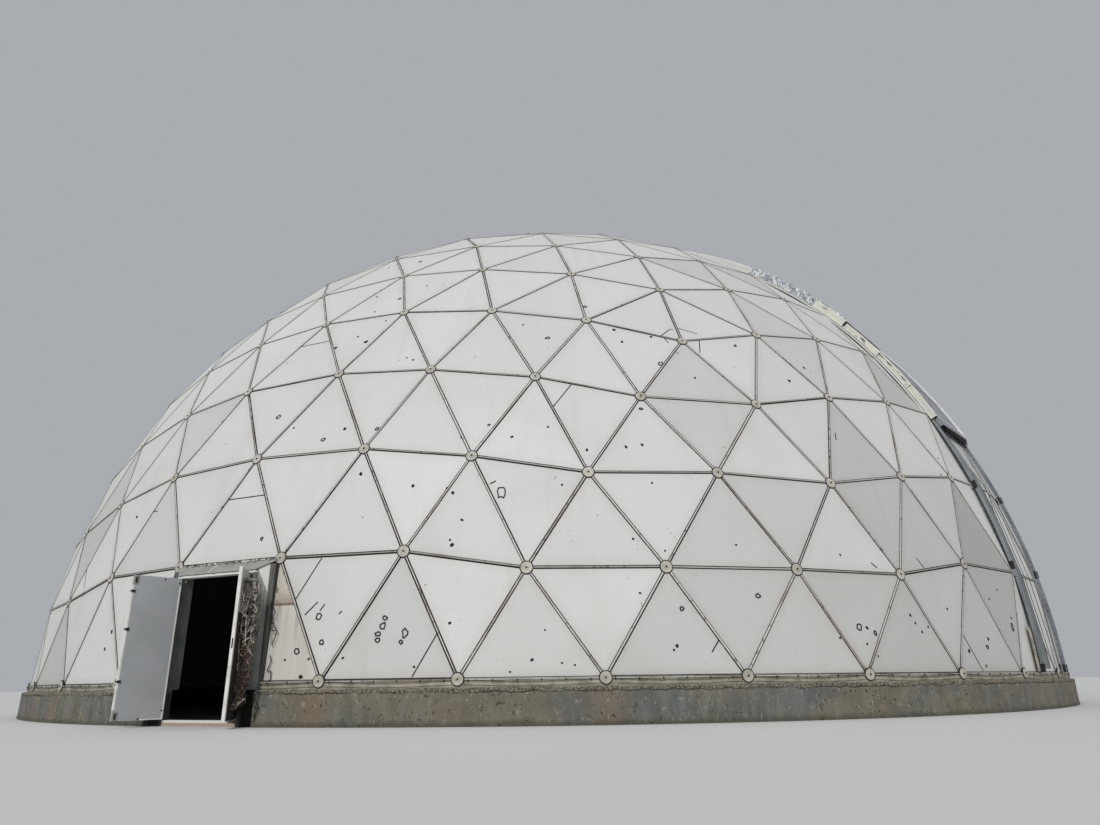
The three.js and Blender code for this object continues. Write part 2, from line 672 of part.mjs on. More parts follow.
function coverSkirt({ start, end, halfWidth, top }, side) {
  const inner = halfWidth - COVER_SKIN;
  const under = top - COVER_SKIN - SEAT_GAP;
  const section = [
    [inner, COVER_SKIRT_RADIUS], [inner, under], [halfWidth, under], [halfWidth, COVER_SKIRT_RADIUS],
  ];
  return arcSweep(mirrored(section, side), start, end);
}

function coverSide(size, side, rollerAngles) {
  const inner = size.halfWidth - COVER_SKIN;
  return join([coverSkirt(size, side), ...rollerAngles.map((angle) => roller(side, angle, inner))]);
}

// Upper cover's sheet with the pads that slide on the lower cover
function upperCoverTop() {
  const padFoot = LOWER_COVER.top + ROLLER_CLEARANCE;
  const padTop = UPPER_COVER.top - COVER_SKIN + OVERLAP;
  const pads = [-1, 1].map((side) => {
    const edges = [side * PAD.inner, side * PAD.outer].sort((a, b) => a - b);
    return blockAtAngle([edges[0], padFoot, -PAD.halfLength], [edges[1], padTop, PAD.halfLength], PAD.angle);
  });
  return join([coverTop(UPPER_COVER), ...pads]);
}

function addSlit() {
  const envelope = shellEnvelope();
  const sides = { near: -1, far: 1 };
  Object.entries(sides).forEach(([name, side]) => {
    const track = join([rail(side), ...brackets(side, envelope)]);
    const lowerSide = coverSide(LOWER_COVER, side, LOWER_ROLLER_ANGLES);
    const upperSide = coverSide(UPPER_COVER, side, [UPPER_ROLLER_ANGLE]);
    addPiece(slitGroup, `slit_rail_${name}`, geometryOf(track), darkSteel());
    addPiece(slitGroup, `lower_cover_side_${name}`, geometryOf(lowerSide), coverCream());
    addPiece(slitGroup, `upper_cover_side_${name}`, geometryOf(upperSide), coverCream());
  });
  addPiece(slitGroup, "lower_cover_top", geometryOf(coverTop(LOWER_COVER)), coverCream());
  addPiece(slitGroup, "upper_cover_top", geometryOf(upperCoverTop()), coverCream());
}

addBase();
addShell();
addPortal();
addDoorLeaves();
addSlit();

export default dome;
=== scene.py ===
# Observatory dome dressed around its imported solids: panel sheets, seam battens and hub plates on the
# geodesic shell, weathered concrete, the open doorway with its two leaves, and the covered slit.
# Metres, +Z up, origin on the ground at the dome's axis, door towards -Y.
import math
import random

import bmesh
import bpy
from mathutils import Matrix, Vector, noise
from mathutils.bvhtree import BVHTree


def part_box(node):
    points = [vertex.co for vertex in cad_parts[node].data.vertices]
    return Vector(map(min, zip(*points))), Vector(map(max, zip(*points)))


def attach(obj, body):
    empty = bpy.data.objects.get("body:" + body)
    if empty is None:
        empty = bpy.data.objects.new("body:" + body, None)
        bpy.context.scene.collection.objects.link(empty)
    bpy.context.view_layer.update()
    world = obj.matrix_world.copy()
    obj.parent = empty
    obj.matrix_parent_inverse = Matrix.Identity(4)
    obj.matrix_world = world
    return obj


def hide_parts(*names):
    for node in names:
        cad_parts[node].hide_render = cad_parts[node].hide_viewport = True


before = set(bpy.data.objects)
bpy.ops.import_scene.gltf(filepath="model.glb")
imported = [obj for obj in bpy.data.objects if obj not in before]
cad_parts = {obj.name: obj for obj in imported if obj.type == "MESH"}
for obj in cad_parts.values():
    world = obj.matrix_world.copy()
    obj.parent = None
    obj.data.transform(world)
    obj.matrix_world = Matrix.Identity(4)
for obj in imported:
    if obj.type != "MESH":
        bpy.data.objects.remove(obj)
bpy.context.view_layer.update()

# Sizes shared with the solids
SPHERE_RADIUS = 15.0
EQUATOR_Z = 0.7
CENTRE = Vector((0, 0, EQUATOR_Z))
GRID_TURN = math.radians(18)
GRID_HALVINGS = 3
PLINTH_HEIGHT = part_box("plinth_1")[1].z
PLINTH_OUTER = 15.15
RIM_FOOT = 0.505
PLINTH_INNER = 14.73
STRIP_OUTER = 15.04
DOORWAY_HALF = 1.2303
POST_INNER = 1.092
DOORWAY_TOP = 2.795
DOOR_CLEAR_HALF = 0.85
FRAME_HALF = 0.93
DOOR_HEAD = 2.54
HINGE_Y = -15.055
LEAF_OUTER_Y = 0.020
LEAF_INNER_Y = 0.065
LEAF_NEAR = 0.010
LEAF_FAR = 0.844
LEFT_LEAF_OPEN = 109
RIGHT_LEAF_OPEN = 125
LEAF_FOOT = 0.115
LEAF_HEAD = 2.53
SLIT_TURN = Matrix.Rotation(math.radians(72), 4, "Z")
SLIT_ACROSS = (SLIT_TURN.to_3x3() @ Vector((1, 0, 0))).normalized()
SLIT_HALF = 1.1
SLIT_START = 25.5
SLIT_END = 96.5
COVER_FOOT = 14.975
LOWER_COVER = {"start": 23.3, "end": 62.0, "half": 1.285, "top": 15.127}
UPPER_COVER = {"start": 37.0, "end": 100.0, "half": 1.315, "top": 15.170}

# The photograph's camera, solved from the hubs of the grid
PHOTO_WIDTH = 1100
PHOTO_HEIGHT = 825
FOCAL_PIXELS = 768.04
SENSOR_WIDTH = 36.0
CAMERA_AZIMUTH = math.radians(23.60)
CAMERA_DISTANCE = 27.914
CAMERA_HEIGHT = 0.616
CAMERA_SIDE_TURN = math.radians(0.275)
CAMERA_PITCH = math.radians(19.446)
CAMERA_ROLL = math.radians(-0.768)

chance = random.Random(11)


# Camera
def camera_axes():
    """Right, up and forward of the photograph's camera."""
    heading = -CAMERA_AZIMUTH + CAMERA_SIDE_TURN
    level = Vector((math.sin(heading), math.cos(heading), 0))
    forward = level * math.cos(CAMERA_PITCH) + Vector((0, 0, math.sin(CAMERA_PITCH)))
    right = Vector((math.cos(heading), -math.sin(heading), 0))
    up = right.cross(forward)
    tilt = Matrix.Rotation(-CAMERA_ROLL, 3, forward)
    return tilt @ right, tilt @ up, forward


def camera_place():
    across = CAMERA_DISTANCE * math.sin(CAMERA_AZIMUTH)
    ahead = -CAMERA_DISTANCE * math.cos(CAMERA_AZIMUTH)
    return Vector((across, ahead, CAMERA_HEIGHT))


def place_camera():
    """Puts the scene's camera where the photograph was taken."""
    right, up, forward = camera_axes()
    data = bpy.data.cameras.new("photo_camera")
    data.sensor_width = SENSOR_WIDTH
    data.lens = FOCAL_PIXELS / PHOTO_WIDTH * SENSOR_WIDTH
    data.clip_end = 2000
    camera = bpy.data.objects.new("photo_camera", data)
    axes = Matrix((right, up, -forward)).transposed().to_4x4()
    camera.matrix_world = Matrix.Translation(camera_place()) @ axes
    bpy.context.scene.collection.objects.link(camera)
    bpy.context.scene.camera = camera


def photo_ray(pixel):
    """Direction from the camera through a pixel of the photograph."""
    right, up, forward = camera_axes()
    across = (pixel[0] - PHOTO_WIDTH / 2) / FOCAL_PIXELS
    rise = (PHOTO_HEIGHT / 2 - pixel[1]) / FOCAL_PIXELS
    return (right * across + up * rise + forward).normalized()


# Finishes
COVER_TURNS_WHITE = (12.40, 12.55)
TIDE_HEIGHT = 2.01


class Finish:
    """A procedural finish: one Principled shader, with a base colour built up in coats."""

    def __init__(self, name, roughness, metallic=0.0):
        self.material = bpy.data.materials.new(name)
        self.material.use_nodes = True
        self.tree = self.material.node_tree
        self.shader = self.tree.nodes["Principled BSDF"]
        self.shader.inputs["Roughness"].default_value = roughness
        self.shader.inputs["Metallic"].default_value = metallic
        self.place = self.add("TexCoord").outputs["Object"]
        self.base = None

    def add(self, kind, inputs=(), **settings):
        node = self.tree.nodes.new("ShaderNode" + kind)
        for key, value in settings.items():
            setattr(node, key, value)
        for key, value in dict(inputs).items():
            if isinstance(value, bpy.types.NodeSocket):
                self.tree.links.new(value, node.inputs[key])
            else:
                node.inputs[key].default_value = value
        return node

    def math(self, operation, first, second=0.0):
        return self.add("Math", {0: first, 1: second}, operation=operation).outputs[0]

    def times(self, first, second):
        return self.math("MULTIPLY", first, second)

    def plus(self, first, second):
        return self.math("ADD", first, second)

    def attribute(self, name):
        return self.add("Attribute", attribute_name=name).outputs["Fac"]

    def along(self, axis):
        """Distance along one axis of the dome's frame: 0, 1 or 2 for X, Y or Z."""
        return self.add("SeparateXYZ", {0: self.place}).outputs[axis]

    def height(self):
        return self.along(2)

    def stretched(self, stretch):
        return self.add("Mapping", {"Vector": self.place, "Scale": stretch}).outputs[0]

    def around_axis(self, across_scale, height_scale):
        """Coordinates that run round the dome and up it, for streaks that water leaves."""
        turn = self.math("ARCTAN2", self.along(1), self.along(0))
        across = self.times(turn, SPHERE_RADIUS * across_scale)
        rise = self.times(self.height(), height_scale)
        return self.add("CombineXYZ", {0: across, 1: rise, 2: 0.0}).outputs[0]

    def noise(self, scale, detail=4.0, place=None, distortion=0.0):
        values = {"Vector": place or self.place, "Scale": scale, "Detail": detail, "Distortion": distortion}
        return self.add("TexNoise", values).outputs["Fac"]

    def spread(self, source, low, high, to_low=0.0, to_high=1.0):
        """Maps a value smoothly from one range to another."""
        values = {"Value": source, "From Min": low, "From Max": high, "To Min": to_low, "To Max": to_high}
        return self.add("MapRange", values, interpolation_type="SMOOTHSTEP").outputs[0]

    def field(self, scale, detail, low, high, **options):
        """A mask from noise, 0 below one of its values and 1 above another."""
        return self.spread(self.noise(scale, detail, **options), low, high)

    def ragged_height(self, scale, detail, reach):
        """Height with a ragged error, for edges that don't run straight."""
        wander = self.math("SUBTRACT", self.noise(scale, detail), 0.5)
        return self.plus(self.height(), self.times(wander, reach))

    def blend(self, factor, first, second, mode="MIX"):
        node = self.add("Mix", data_type="RGBA", blend_type=mode)
        for socket, value in ((node.inputs[0], factor), (node.inputs[6], first), (node.inputs[7], second)):
            if isinstance(value, bpy.types.NodeSocket):
                self.tree.links.new(value, socket)
            else:
                socket.default_value = value
        return node.outputs[2]

    def ground(self, mask, first, second):
        """The first colour with the second over it where the mask is 1."""
        self.base = self.blend(mask, first, second)

    def coat(self, mask, colour, share=1.0):
        """A colour over what is there, where the mask is 1, and only a share of it there."""
        factor = mask if share == 1.0 else self.times(mask, share)
        self.base = self.blend(factor, self.base, colour)

    def roughness(self, socket):
        self.tree.links.new(socket, self.shader.inputs["Roughness"])

    def relief(self, source, strength, distance):
        values = {"Height": source, "Strength": strength, "Distance": distance}
        bump = self.add("Bump", values).outputs[0]
        self.tree.links.new(bump, self.shader.inputs["Normal"])

    def done(self):
        self.tree.links.new(self.base, self.shader.inputs["Base Color"])
        return self.material


def rgb(red, green, blue):
    """Linear colour of 0 to 255 display values."""
    def linear(value):
        share = value / 255
        return share / 12.92 if share <= 0.04045 else ((share + 0.055) / 1.055) ** 2.4
    return (linear(red), linear(green), linear(blue), 1.0)


def panel_paint():
    """White sheet metal, each panel a little apart in tone, clouded and streaked by weather."""
    paint = Finish("panel_paint", 0.55)
    cloud = paint.field(0.45, 5.0, 0.38, 0.72, distortion=0.6)
    smear = paint.field(1.0, 5.0, 0.52, 0.80, place=paint.around_axis(3.2, 0.30))
    grime = paint.times(paint.attribute("grime"), paint.noise(2.2, 5.0))
    specks = paint.field(15.0, 3.0, 0.70, 0.76)
    flecks = paint.field(6.5, 4.0, 0.735, 0.765)
    paint.ground(paint.times(cloud, 0.45), rgb(218, 217, 213), rgb(202, 201, 196))
    paint.coat(smear, rgb(176, 170, 158), 0.16)
    paint.coat(grime, rgb(160, 152, 140), 0.30)
    paint.coat(specks, rgb(120, 108, 96), 0.40)
    paint.coat(flecks, rgb(92, 82, 74), 0.60)
    paint.coat(paint.attribute("tone"), rgb(138, 136, 131))
    paint.coat(paint.attribute("stain"), stain_colours(paint))
    paint.roughness(paint.spread(cloud, 0.0, 1.0, 0.48, 0.66))
    paint.relief(paint.noise(0.8, 3.0), 0.35, 0.05)
    return paint.done()


def stain_colours(paint):
    """Brown runs below a level tide line, a shaded band over it and specks above."""
    height = paint.height()
    runs = paint.field(1.0, 4.0, 0.44, 0.70, place=paint.around_axis(7.0, 0.5))
    fade = paint.spread(height, 1.0, TIDE_HEIGHT - 0.06, 0.2, 1.0)
    below = paint.blend(paint.times(runs, fade), rgb(212, 208, 200), rgb(176, 163, 147))
    above = paint.blend(paint.field(14.0, 5.0, 0.56, 0.66), rgb(205, 198, 186), rgb(140, 122, 104))
    base = paint.blend(paint.spread(height, TIDE_HEIGHT, TIDE_HEIGHT + 0.01), below, above)
    over_line = paint.spread(height, TIDE_HEIGHT - 0.01, TIDE_HEIGHT)
    shade = paint.times(over_line, paint.spread(height, TIDE_HEIGHT + 0.23, TIDE_HEIGHT + 0.01))
    base = paint.blend(paint.times(shade, 0.6), base, rgb(156, 138, 122))
    line_foot = paint.spread(height, TIDE_HEIGHT - 0.06, TIDE_HEIGHT - 0.045)
    line = paint.times(line_foot, paint.spread(height, TIDE_HEIGHT + 0.002, TIDE_HEIGHT - 0.01))
    return paint.blend(paint.times(line, 0.85), base, rgb(112, 92, 78))


def seal_paint():
    """Dark sealant along the seams, cracked and tinted by rust, darker on level seams as painted shade and
    blackest on the shaded side of a seam as painted shadow.
    """
    paint = Finish("joint_sealant", 0.85)
    paint.ground(paint.field(1.6, 6.0, 0.42, 0.64), rgb(18, 16, 15), rgb(46, 40, 35))
    paint.coat(paint.field(9.0, 4.0, 0.60, 0.70), rgb(142, 133, 122), 0.5)
    # Painted shade: darker where the seam runs level
    paint.coat(paint.attribute("level"), rgb(50, 44, 39), 0.45)
    paint.coat(paint.attribute("bold"), rgb(9, 8, 8), 0.7)
    # Painted shadow: near black on the side of a seam that its batten shades
    paint.coat(paint.spread(paint.attribute("shaded"), 0.15, 0.6), rgb(5, 5, 5))
    paint.relief(paint.noise(40.0, 4.0), 0.6, 0.004)
    return paint.done()


def batten_paint():
    """Grey-white seam battens with rusty breaks, darker where the seam runs level as painted shade."""
    paint = Finish("batten_paint", 0.6)
    paint.ground(paint.field(0.9, 6.0, 0.47, 0.66), rgb(212, 209, 202), rgb(164, 152, 138))
    paint.coat(paint.field(12.0, 5.0, 0.56, 0.68), rgb(84, 72, 62), 0.75)
    # Painted shade: darker where the seam runs level
    paint.coat(paint.attribute("level"), rgb(94, 82, 72), 0.55)
    paint.coat(paint.attribute("bold"), rgb(206, 203, 197), 0.5)
    paint.relief(paint.noise(30.0, 4.0), 0.4, 0.003)
    return paint.done()


def plate_paint(name, light, dark, rust_share, roughness=0.6, metallic=0.1, scale=6.0):
    """Painted steel with clouded tone and rust in patches."""
    paint = Finish(name, roughness, metallic)
    rust = paint.field(scale * 2.3, 6.0, 0.60, 0.72)
    paint.ground(paint.field(scale, 5.0, 0.35, 0.68), light, dark)
    paint.coat(rust, rgb(112, 82, 62), rust_share)
    paint.roughness(paint.spread(rust, 0.0, 1.0, roughness, 0.9))
    paint.relief(paint.noise(scale * 5, 4.0), 0.3, 0.004)
    return paint.done()


def weathered_concrete():
    """Old board-cast concrete: blue-grey and yellowish fields, scuffs, pits and a rough mortar rim."""
    paint = Finish("weathered_concrete", 0.93)
    grit = paint.noise(34.0, 6.0)
    edge = paint.ragged_height(4.0, 6.0, 0.12)
    fields = paint.field(1.0, 4.0, 0.42, 0.58, place=paint.around_axis(0.75, 0.9), distortion=0.4)
    boards = paint.field(1.0, 4.0, 0.42, 0.66, place=paint.around_axis(5.5, 1.3))
    scuffs = paint.field(1.0, 6.0, 0.60, 0.66, place=paint.around_axis(14.0, 7.0))
    scratches = paint.field(1.0, 3.0, 0.70, 0.73, place=paint.around_axis(34.0, 3.5))
    pits = paint.times(paint.field(19.0, 5.0, 0.62, 0.68), paint.field(1.7, 3.0, 0.42, 0.54))
    paint.ground(fields, rgb(110, 113, 112), rgb(128, 122, 108))
    paint.coat(paint.field(2.6, 6.0, 0.38, 0.64, distortion=0.5), rgb(102, 99, 90), 0.45)
    paint.coat(boards, rgb(154, 152, 144), 0.28)
    paint.coat(paint.attribute("stain"), rgb(134, 118, 96), 0.55)
    paint.coat(scuffs, rgb(180, 178, 170), 0.36)
    paint.coat(scratches, rgb(196, 194, 186), 0.5)
    rim = paint.spread(edge, RIM_FOOT - 0.008, RIM_FOOT + 0.008)
    paint.coat(rim, mortar_colours(paint, edge, grit), 0.9)
    paint.coat(mortar_crack(paint, edge, rim), rgb(52, 48, 40), 0.8)
    paint.coat(paint.spread(edge, 0.12, 0.02), rgb(72, 69, 54), 0.6)
    paint.coat(pits, rgb(54, 50, 44), 0.75)
    speckle = paint.blend(grit, rgb(60, 58, 52), rgb(182, 178, 168))
    paint.base = paint.blend(0.45, paint.base, speckle, "SOFT_LIGHT")
    rough = paint.times(rim, paint.noise(15.0, 5.0))
    depth = paint.math("SUBTRACT", paint.plus(grit, paint.times(rough, 1.2)), pits)
    paint.relief(depth, 0.8, 0.02)
    return paint.done()


def mortar_colours(paint, edge, grit):
    """Gritty mortar of the plinth's rim, cleaner towards its top."""
    mortar = paint.blend(paint.spread(grit, 0.40, 0.62), rgb(86, 80, 70), rgb(150, 144, 130))
    clean = paint.spread(edge, RIM_FOOT + 0.055, RIM_FOOT + 0.085)
    return paint.blend(paint.times(clean, 0.7), mortar, rgb(160, 153, 136))


def mortar_crack(paint, edge, rim):
    """The open crack under the mortar, which closes in places."""
    open_joint = paint.field(0.6, 3.0, 0.46, 0.56)
    crack = paint.times(rim, paint.spread(edge, RIM_FOOT + 0.028, RIM_FOOT + 0.012))
    return paint.times(crack, paint.spread(open_joint, 0.0, 1.0, 0.25, 1.0))


def cover_paint():
    """Chalky cream sheet of the slit covers, chipped down to grey metal, and white towards the zenith."""
    paint = Finish("cover_cream", 0.6, 0.05)
    cloud = paint.field(1.4, 5.0, 0.36, 0.68)
    chips = paint.field(3.2, 6.0, 0.62, 0.655, distortion=0.8)
    paint.ground(cloud, rgb(226, 224, 210), rgb(208, 205, 191))
    paint.coat(chips, rgb(138, 144, 152), 0.8)
    white = paint.blend(cloud, rgb(216, 215, 211), rgb(203, 202, 197))
    paint.coat(paint.spread(paint.height(), *COVER_TURNS_WHITE), white)
    paint.relief(paint.times(chips, -1.0), 0.5, 0.006)
    return paint.done()


def flashing_paint():
    """Torn flashing: white film over blue-grey metal."""
    paint = Finish("torn_flashing", 0.55, 0.2)
    torn = paint.field(11.0, 5.0, 0.46, 0.51, distortion=1.2)
    paint.ground(torn, rgb(236, 237, 235), rgb(146, 154, 166))
    paint.coat(paint.field(13.0, 4.0, 0.60, 0.66), rgb(74, 76, 84), 0.8)
    paint.relief(torn, 0.6, 0.01)
    return paint.done()


def cover_roof_paint():
    """Blue-grey weathered sheet of the covers' tops, with remains of white film."""
    paint = Finish("cover_roof", 0.5, 0.25)
    film = paint.field(2.1, 6.0, 0.54, 0.64, distortion=0.6)
    paint.ground(paint.field(2.4, 4.0, 0.36, 0.66), rgb(152, 156, 161), rgb(132, 136, 142))
    paint.coat(film, rgb(200, 201, 199), 0.55)
    paint.relief(film, 0.5, 0.006)
    return paint.done()


def threshold_paint():
    """White-edged threshold on a foot of reddish mortar, dark by the right jamb as painted shade."""
    paint = Finish("threshold", 0.85)
    trim = paint.blend(paint.noise(6.0, 5.0), rgb(204, 201, 194), rgb(224, 222, 216))
    # The trim dark towards the right jamb is painted shade
    trim = paint.blend(paint.spread(paint.along(0), 0.62, 0.70), trim, rgb(66, 58, 52))
    paint.ground(paint.noise(14.0, 5.0), rgb(150, 122, 108), rgb(178, 168, 156))
    paint.coat(paint.spread(paint.height(), 0.056, 0.062), trim)
    paint.relief(paint.noise(20.0, 4.0), 0.5, 0.006)
    return paint.done()


def lintel_paint():
    """White lower lip of the lintel, a dark joint over it and grey above."""
    paint = Finish("lintel", 0.6)
    height = paint.height()
    grey = paint.blend(paint.noise(3.0, 4.0), rgb(148, 147, 141), rgb(160, 159, 153))
    paint.ground(paint.noise(7.0, 4.0), rgb(214, 212, 206), rgb(232, 230, 225))
    paint.coat(paint.spread(height, DOOR_HEAD + 0.034, DOOR_HEAD + 0.037), rgb(52, 48, 44))
    paint.coat(paint.spread(height, DOOR_HEAD + 0.048, DOOR_HEAD + 0.052), grey)
    return paint.done()


def jamb_paint():
    """Dark steel of the door's posts, its dark grey partly painted shade; black and rusty as far up as the
    plinth, the black there painted shade.
    """
    paint = Finish("door_jamb", 0.7, 0.15)
    # Black and rust on the foot of the posts: painted shade mixed with rust
    rust_and_shade = paint.blend(paint.noise(11.0, 5.0), rgb(30, 26, 23), rgb(66, 52, 43))
    # Dark grey that is partly painted shade
    paint.ground(paint.field(2.2, 5.0, 0.35, 0.68), rgb(118, 120, 117), rgb(88, 90, 88))
    paint.coat(paint.spread(paint.ragged_height(5.0, 4.0, 0.25), 0.66, 0.54), rust_and_shade, 0.9)
    return paint.done()


def upright_steel():
    """Dark painted steel of the doorway's sides: the posts darker than the cheeks as painted shade, with
    runs down them.
    """
    paint = Finish("upright_steel", 0.65, 0.15)
    off_middle = paint.math("ABSOLUTE", paint.along(0))
    runs = paint.field(1.0, 4.0, 0.40, 0.66, place=paint.stretched((16.0, 16.0, 0.7)))
    # The posts' darker colour is painted shade
    post = paint.blend(runs, rgb(92, 92, 88), rgb(110, 109, 104))
    paint.ground(runs, rgb(132, 135, 133), rgb(158, 160, 156))
    paint.coat(paint.spread(off_middle, POST_INNER - 0.006, POST_INNER + 0.002), post)
    paint.coat(paint.spread(off_middle, DOORWAY_HALF - 0.026, DOORWAY_HALF - 0.020), rgb(34, 33, 31), 0.85)
    return paint.done()


def rust_paint(name, light, dark, scale=18.0):
    """Rough rusty or bare material, mottled between two colours."""
    paint = Finish(name, 0.88, 0.1)
    paint.ground(paint.field(scale, 6.0, 0.34, 0.66), light, dark)
    paint.relief(paint.noise(scale * 3, 4.0), 0.6, 0.004)
    return paint.done()


PANEL = panel_paint()
SEALANT = seal_paint()
BATTEN = batten_paint()
HUB_PLATE = plate_paint("hub_plate", rgb(196, 192, 180), rgb(170, 165, 152), 0.40)
BOLT = plate_paint("rusty_bolt", rgb(62, 54, 46), rgb(36, 32, 30), 0.7, 0.75, 0.4, 20.0)
STRIP = plate_paint("base_strip_paint", rgb(180, 174, 158), rgb(144, 136, 120), 0.5, 0.75, 0.0, 5.0)
CONCRETE = weathered_concrete()
FRAME_GREY = plate_paint("door_frame_grey", rgb(163, 162, 155), rgb(146, 145, 138), 0.35, 0.65, 0.1, 2.8)
# Dark steel of the reveal liners, its darkness partly painted shade
DARK_STEEL_AND_SHADE = plate_paint("dark_steel", rgb(118, 120, 117), rgb(88, 90, 88), 0.35, 0.7, 0.2, 2.2)
GALVANISED = plate_paint("galvanised", rgb(150, 154, 159), rgb(124, 129, 134), 0.10, 0.5, 0.4, 1.6)
APRON_GREY = plate_paint("apron_grey", rgb(128, 134, 132), rgb(106, 112, 111), 0.10, 0.6, 0.2, 1.4)
JAMB_STEEL = jamb_paint()
# Black rubber of latches and clamps, also used for painted shade and painted shadow
RUBBER_AND_SHADE = plate_paint("black_rubber_and_shade", rgb(38, 38, 38), rgb(22, 22, 22), 0.1, 0.8, 0.0, 9.0)
LEAF_GREY = plate_paint("leaf_grey", rgb(176, 178, 180), rgb(168, 170, 171), 0.05, 0.5, 0.1, 1.2)
TRIM_WHITE = plate_paint("trim_white", rgb(234, 233, 228), rgb(214, 212, 204), 0.3, 0.55, 0.0, 4.0)
THRESHOLD = threshold_paint()
LINTEL = lintel_paint()
UPRIGHT_STEEL = upright_steel()
COVER_ROOF = cover_roof_paint()
COVER = cover_paint()
FLASHING = flashing_paint()
LATH_BROWN = rust_paint("lath_brown", rgb(140, 104, 86), rgb(62, 46, 38))
LATH_PALE = rust_paint("lath_pale", rgb(236, 232, 224), rgb(176, 170, 158))
LATH_GREY = rust_paint("lath_grey", rgb(160, 152, 140), rgb(104, 95, 85))
# Dark rusty lath, also the backing sheet that is painted shade behind the tangle
LATH_SHADE = rust_paint("dark_lath_and_shade", rgb(62, 54, 47), rgb(30, 27, 25), 6.0)
WIRE_RUST = rust_paint("rusty_wire", rgb(66, 54, 45), rgb(38, 32, 28), 40.0)
# Dark of holes, a lock slot and marks on the panels, also used for painted shade and painted shadow
DARK_MARK_AND_SHADE = rust_paint("dark_mark_and_shade", rgb(38, 34, 32), rgb(22, 20, 19), 30.0)


# Pieces
def finish_piece(name, bm, finishes, body="dome_structure"):
    """Turns a bmesh into a named piece that rides on a body."""
    mesh = bpy.data.meshes.new(name)
    bm.to_mesh(mesh)
    bm.free()
    for material in finishes:
        mesh.materials.append(material)
    piece = bpy.data.objects.new(name, mesh)
    bpy.context.scene.collection.objects.link(piece)
    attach(piece, body)
    return piece


def set_normals(bm):
    bmesh.ops.recalc_face_normals(bm, faces=bm.faces)


def paint_new(verts, index):
    """Gives the faces that a create operator made their place in the piece's list of finishes."""
    for face in {face for vert in verts for face in vert.link_faces}:
        face.material_index = index


def add_block(bm, place, size, index=0, edge=0.0):
    """A block centred on a placing matrix, with its edges broken where a width for them is given."""
    made = bmesh.ops.create_cube(bm, size=1.0, matrix=place @ Matrix.Diagonal((*size, 1.0)))["verts"]
    paint_new(made, index)
    if edge:
        edges = list({link for vert in made for link in vert.link_edges})
        bmesh.ops.bevel(bm, geom=edges, offset=edge, segments=1, profile=0.5, affect="EDGES", material=-1)


def span(bm, place, along, out, rise, index=0, edge=0.0):
    """A block between two ends on each axis of a placing matrix."""
    low, high = (Vector(corner) for corner in zip(*map(sorted, (along, out, rise))))
    add_block(bm, place @ Matrix.Translation((low + high) / 2), high - low, index, edge)


def add_disc(bm, place, radius, depth, sides, index=0, top_radius=None):
    """A disc or many-sided prism centred on a placing matrix, narrower at its top where that is given."""
    sizes = {"radius1": radius, "radius2": top_radius or radius, "depth": depth}
    made = bmesh.ops.create_cone(bm, cap_ends=True, segments=sides, matrix=place, **sizes)["verts"]
    paint_new(made, index)
    return made


def facing(normal, spin=0.0):
    """Turn whose Z runs along a normal."""
    return normal.to_track_quat("Z", "Y").to_matrix().to_4x4() @ Matrix.Rotation(spin, 4, "Z")


def add_rod(bm, start, end, radius, index=0, sides=5):
    """A rod between two points."""
    place = Matrix.Translation((start + end) / 2) @ facing(end - start)
    add_disc(bm, place, radius, (end - start).length, sides, index)


def add_sheet(bm, columns, rows, shape, index=0):
    """A sheet whose corners a function places, from shares between 0 and 1 along its columns and rows."""
    made = bmesh.ops.create_grid(bm, x_segments=columns, y_segments=rows, size=0.5)["verts"]
    for vert in made:
        vert.co = shape(vert.co.x + 0.5, vert.co.y + 0.5)
    paint_new(made, index)


def ring_section(turn, corners):
    """A section's corners, given as (radius, height), at a turn round the dome's axis."""
    return [(radius * math.cos(turn), radius * math.sin(turn), height) for radius, height in corners]


def spin_section(bm, corners, angle, steps, index=0, centre=(0, 0, 0), axis=(0, 0, 1)):
    """A bar with closed ends, made by turning a section round an axis."""
    face = bm.faces.new([bm.verts.new(corner) for corner in corners])
    face.material_index = index
    bmesh.ops.spin(
        bm, geom=[face], cent=centre, axis=axis, dvec=(0, 0, 0), angle=angle, steps=steps,
        use_merge=False, use_duplicate=False,
    )


def thicken(bm, depth):
    """Gives an open skin its depth along its normals, or against them where the depth is negative."""
    bmesh.ops.solidify(bm, geom=bm.faces[:] + bm.edges[:] + bm.verts[:], thickness=-depth)
    set_normals(bm)


# Slit frame
def slit_coordinates(point):
    """Distance across the slit, angle above the base and radius in the slit's own plane."""
    local = SLIT_TURN.inverted() @ (point - CENTRE)
    return local.x, math.degrees(math.atan2(local.z, -local.y)), math.hypot(local.y, local.z)


def slit_frame(angle, across=0.0, radius=0.0):
    """Placing matrix in the slit: X across, Y along it towards the zenith, Z outwards."""
    turn = math.radians(angle)
    sine = math.sin(turn)
    cosine = math.cos(turn)
    axes = Matrix(((1, 0, 0), (0, sine, -cosine), (0, cosine, sine))).to_4x4()
    return Matrix.Translation(CENTRE) @ SLIT_TURN @ axes @ Matrix.Translation((across, 0, radius))


def slit_planes(low, high, start, end):
    """Planes round a field of the slit, each a point and its outward side."""
    def along(angle):
        return slit_frame(angle).to_3x3() @ Vector((0, 1, 0))

    return [
        (CENTRE + SLIT_ACROSS * high, SLIT_ACROSS), (CENTRE + SLIT_ACROSS * low, -SLIT_ACROSS),
        (CENTRE, -along(start)), (CENTRE, along(end)),
    ]


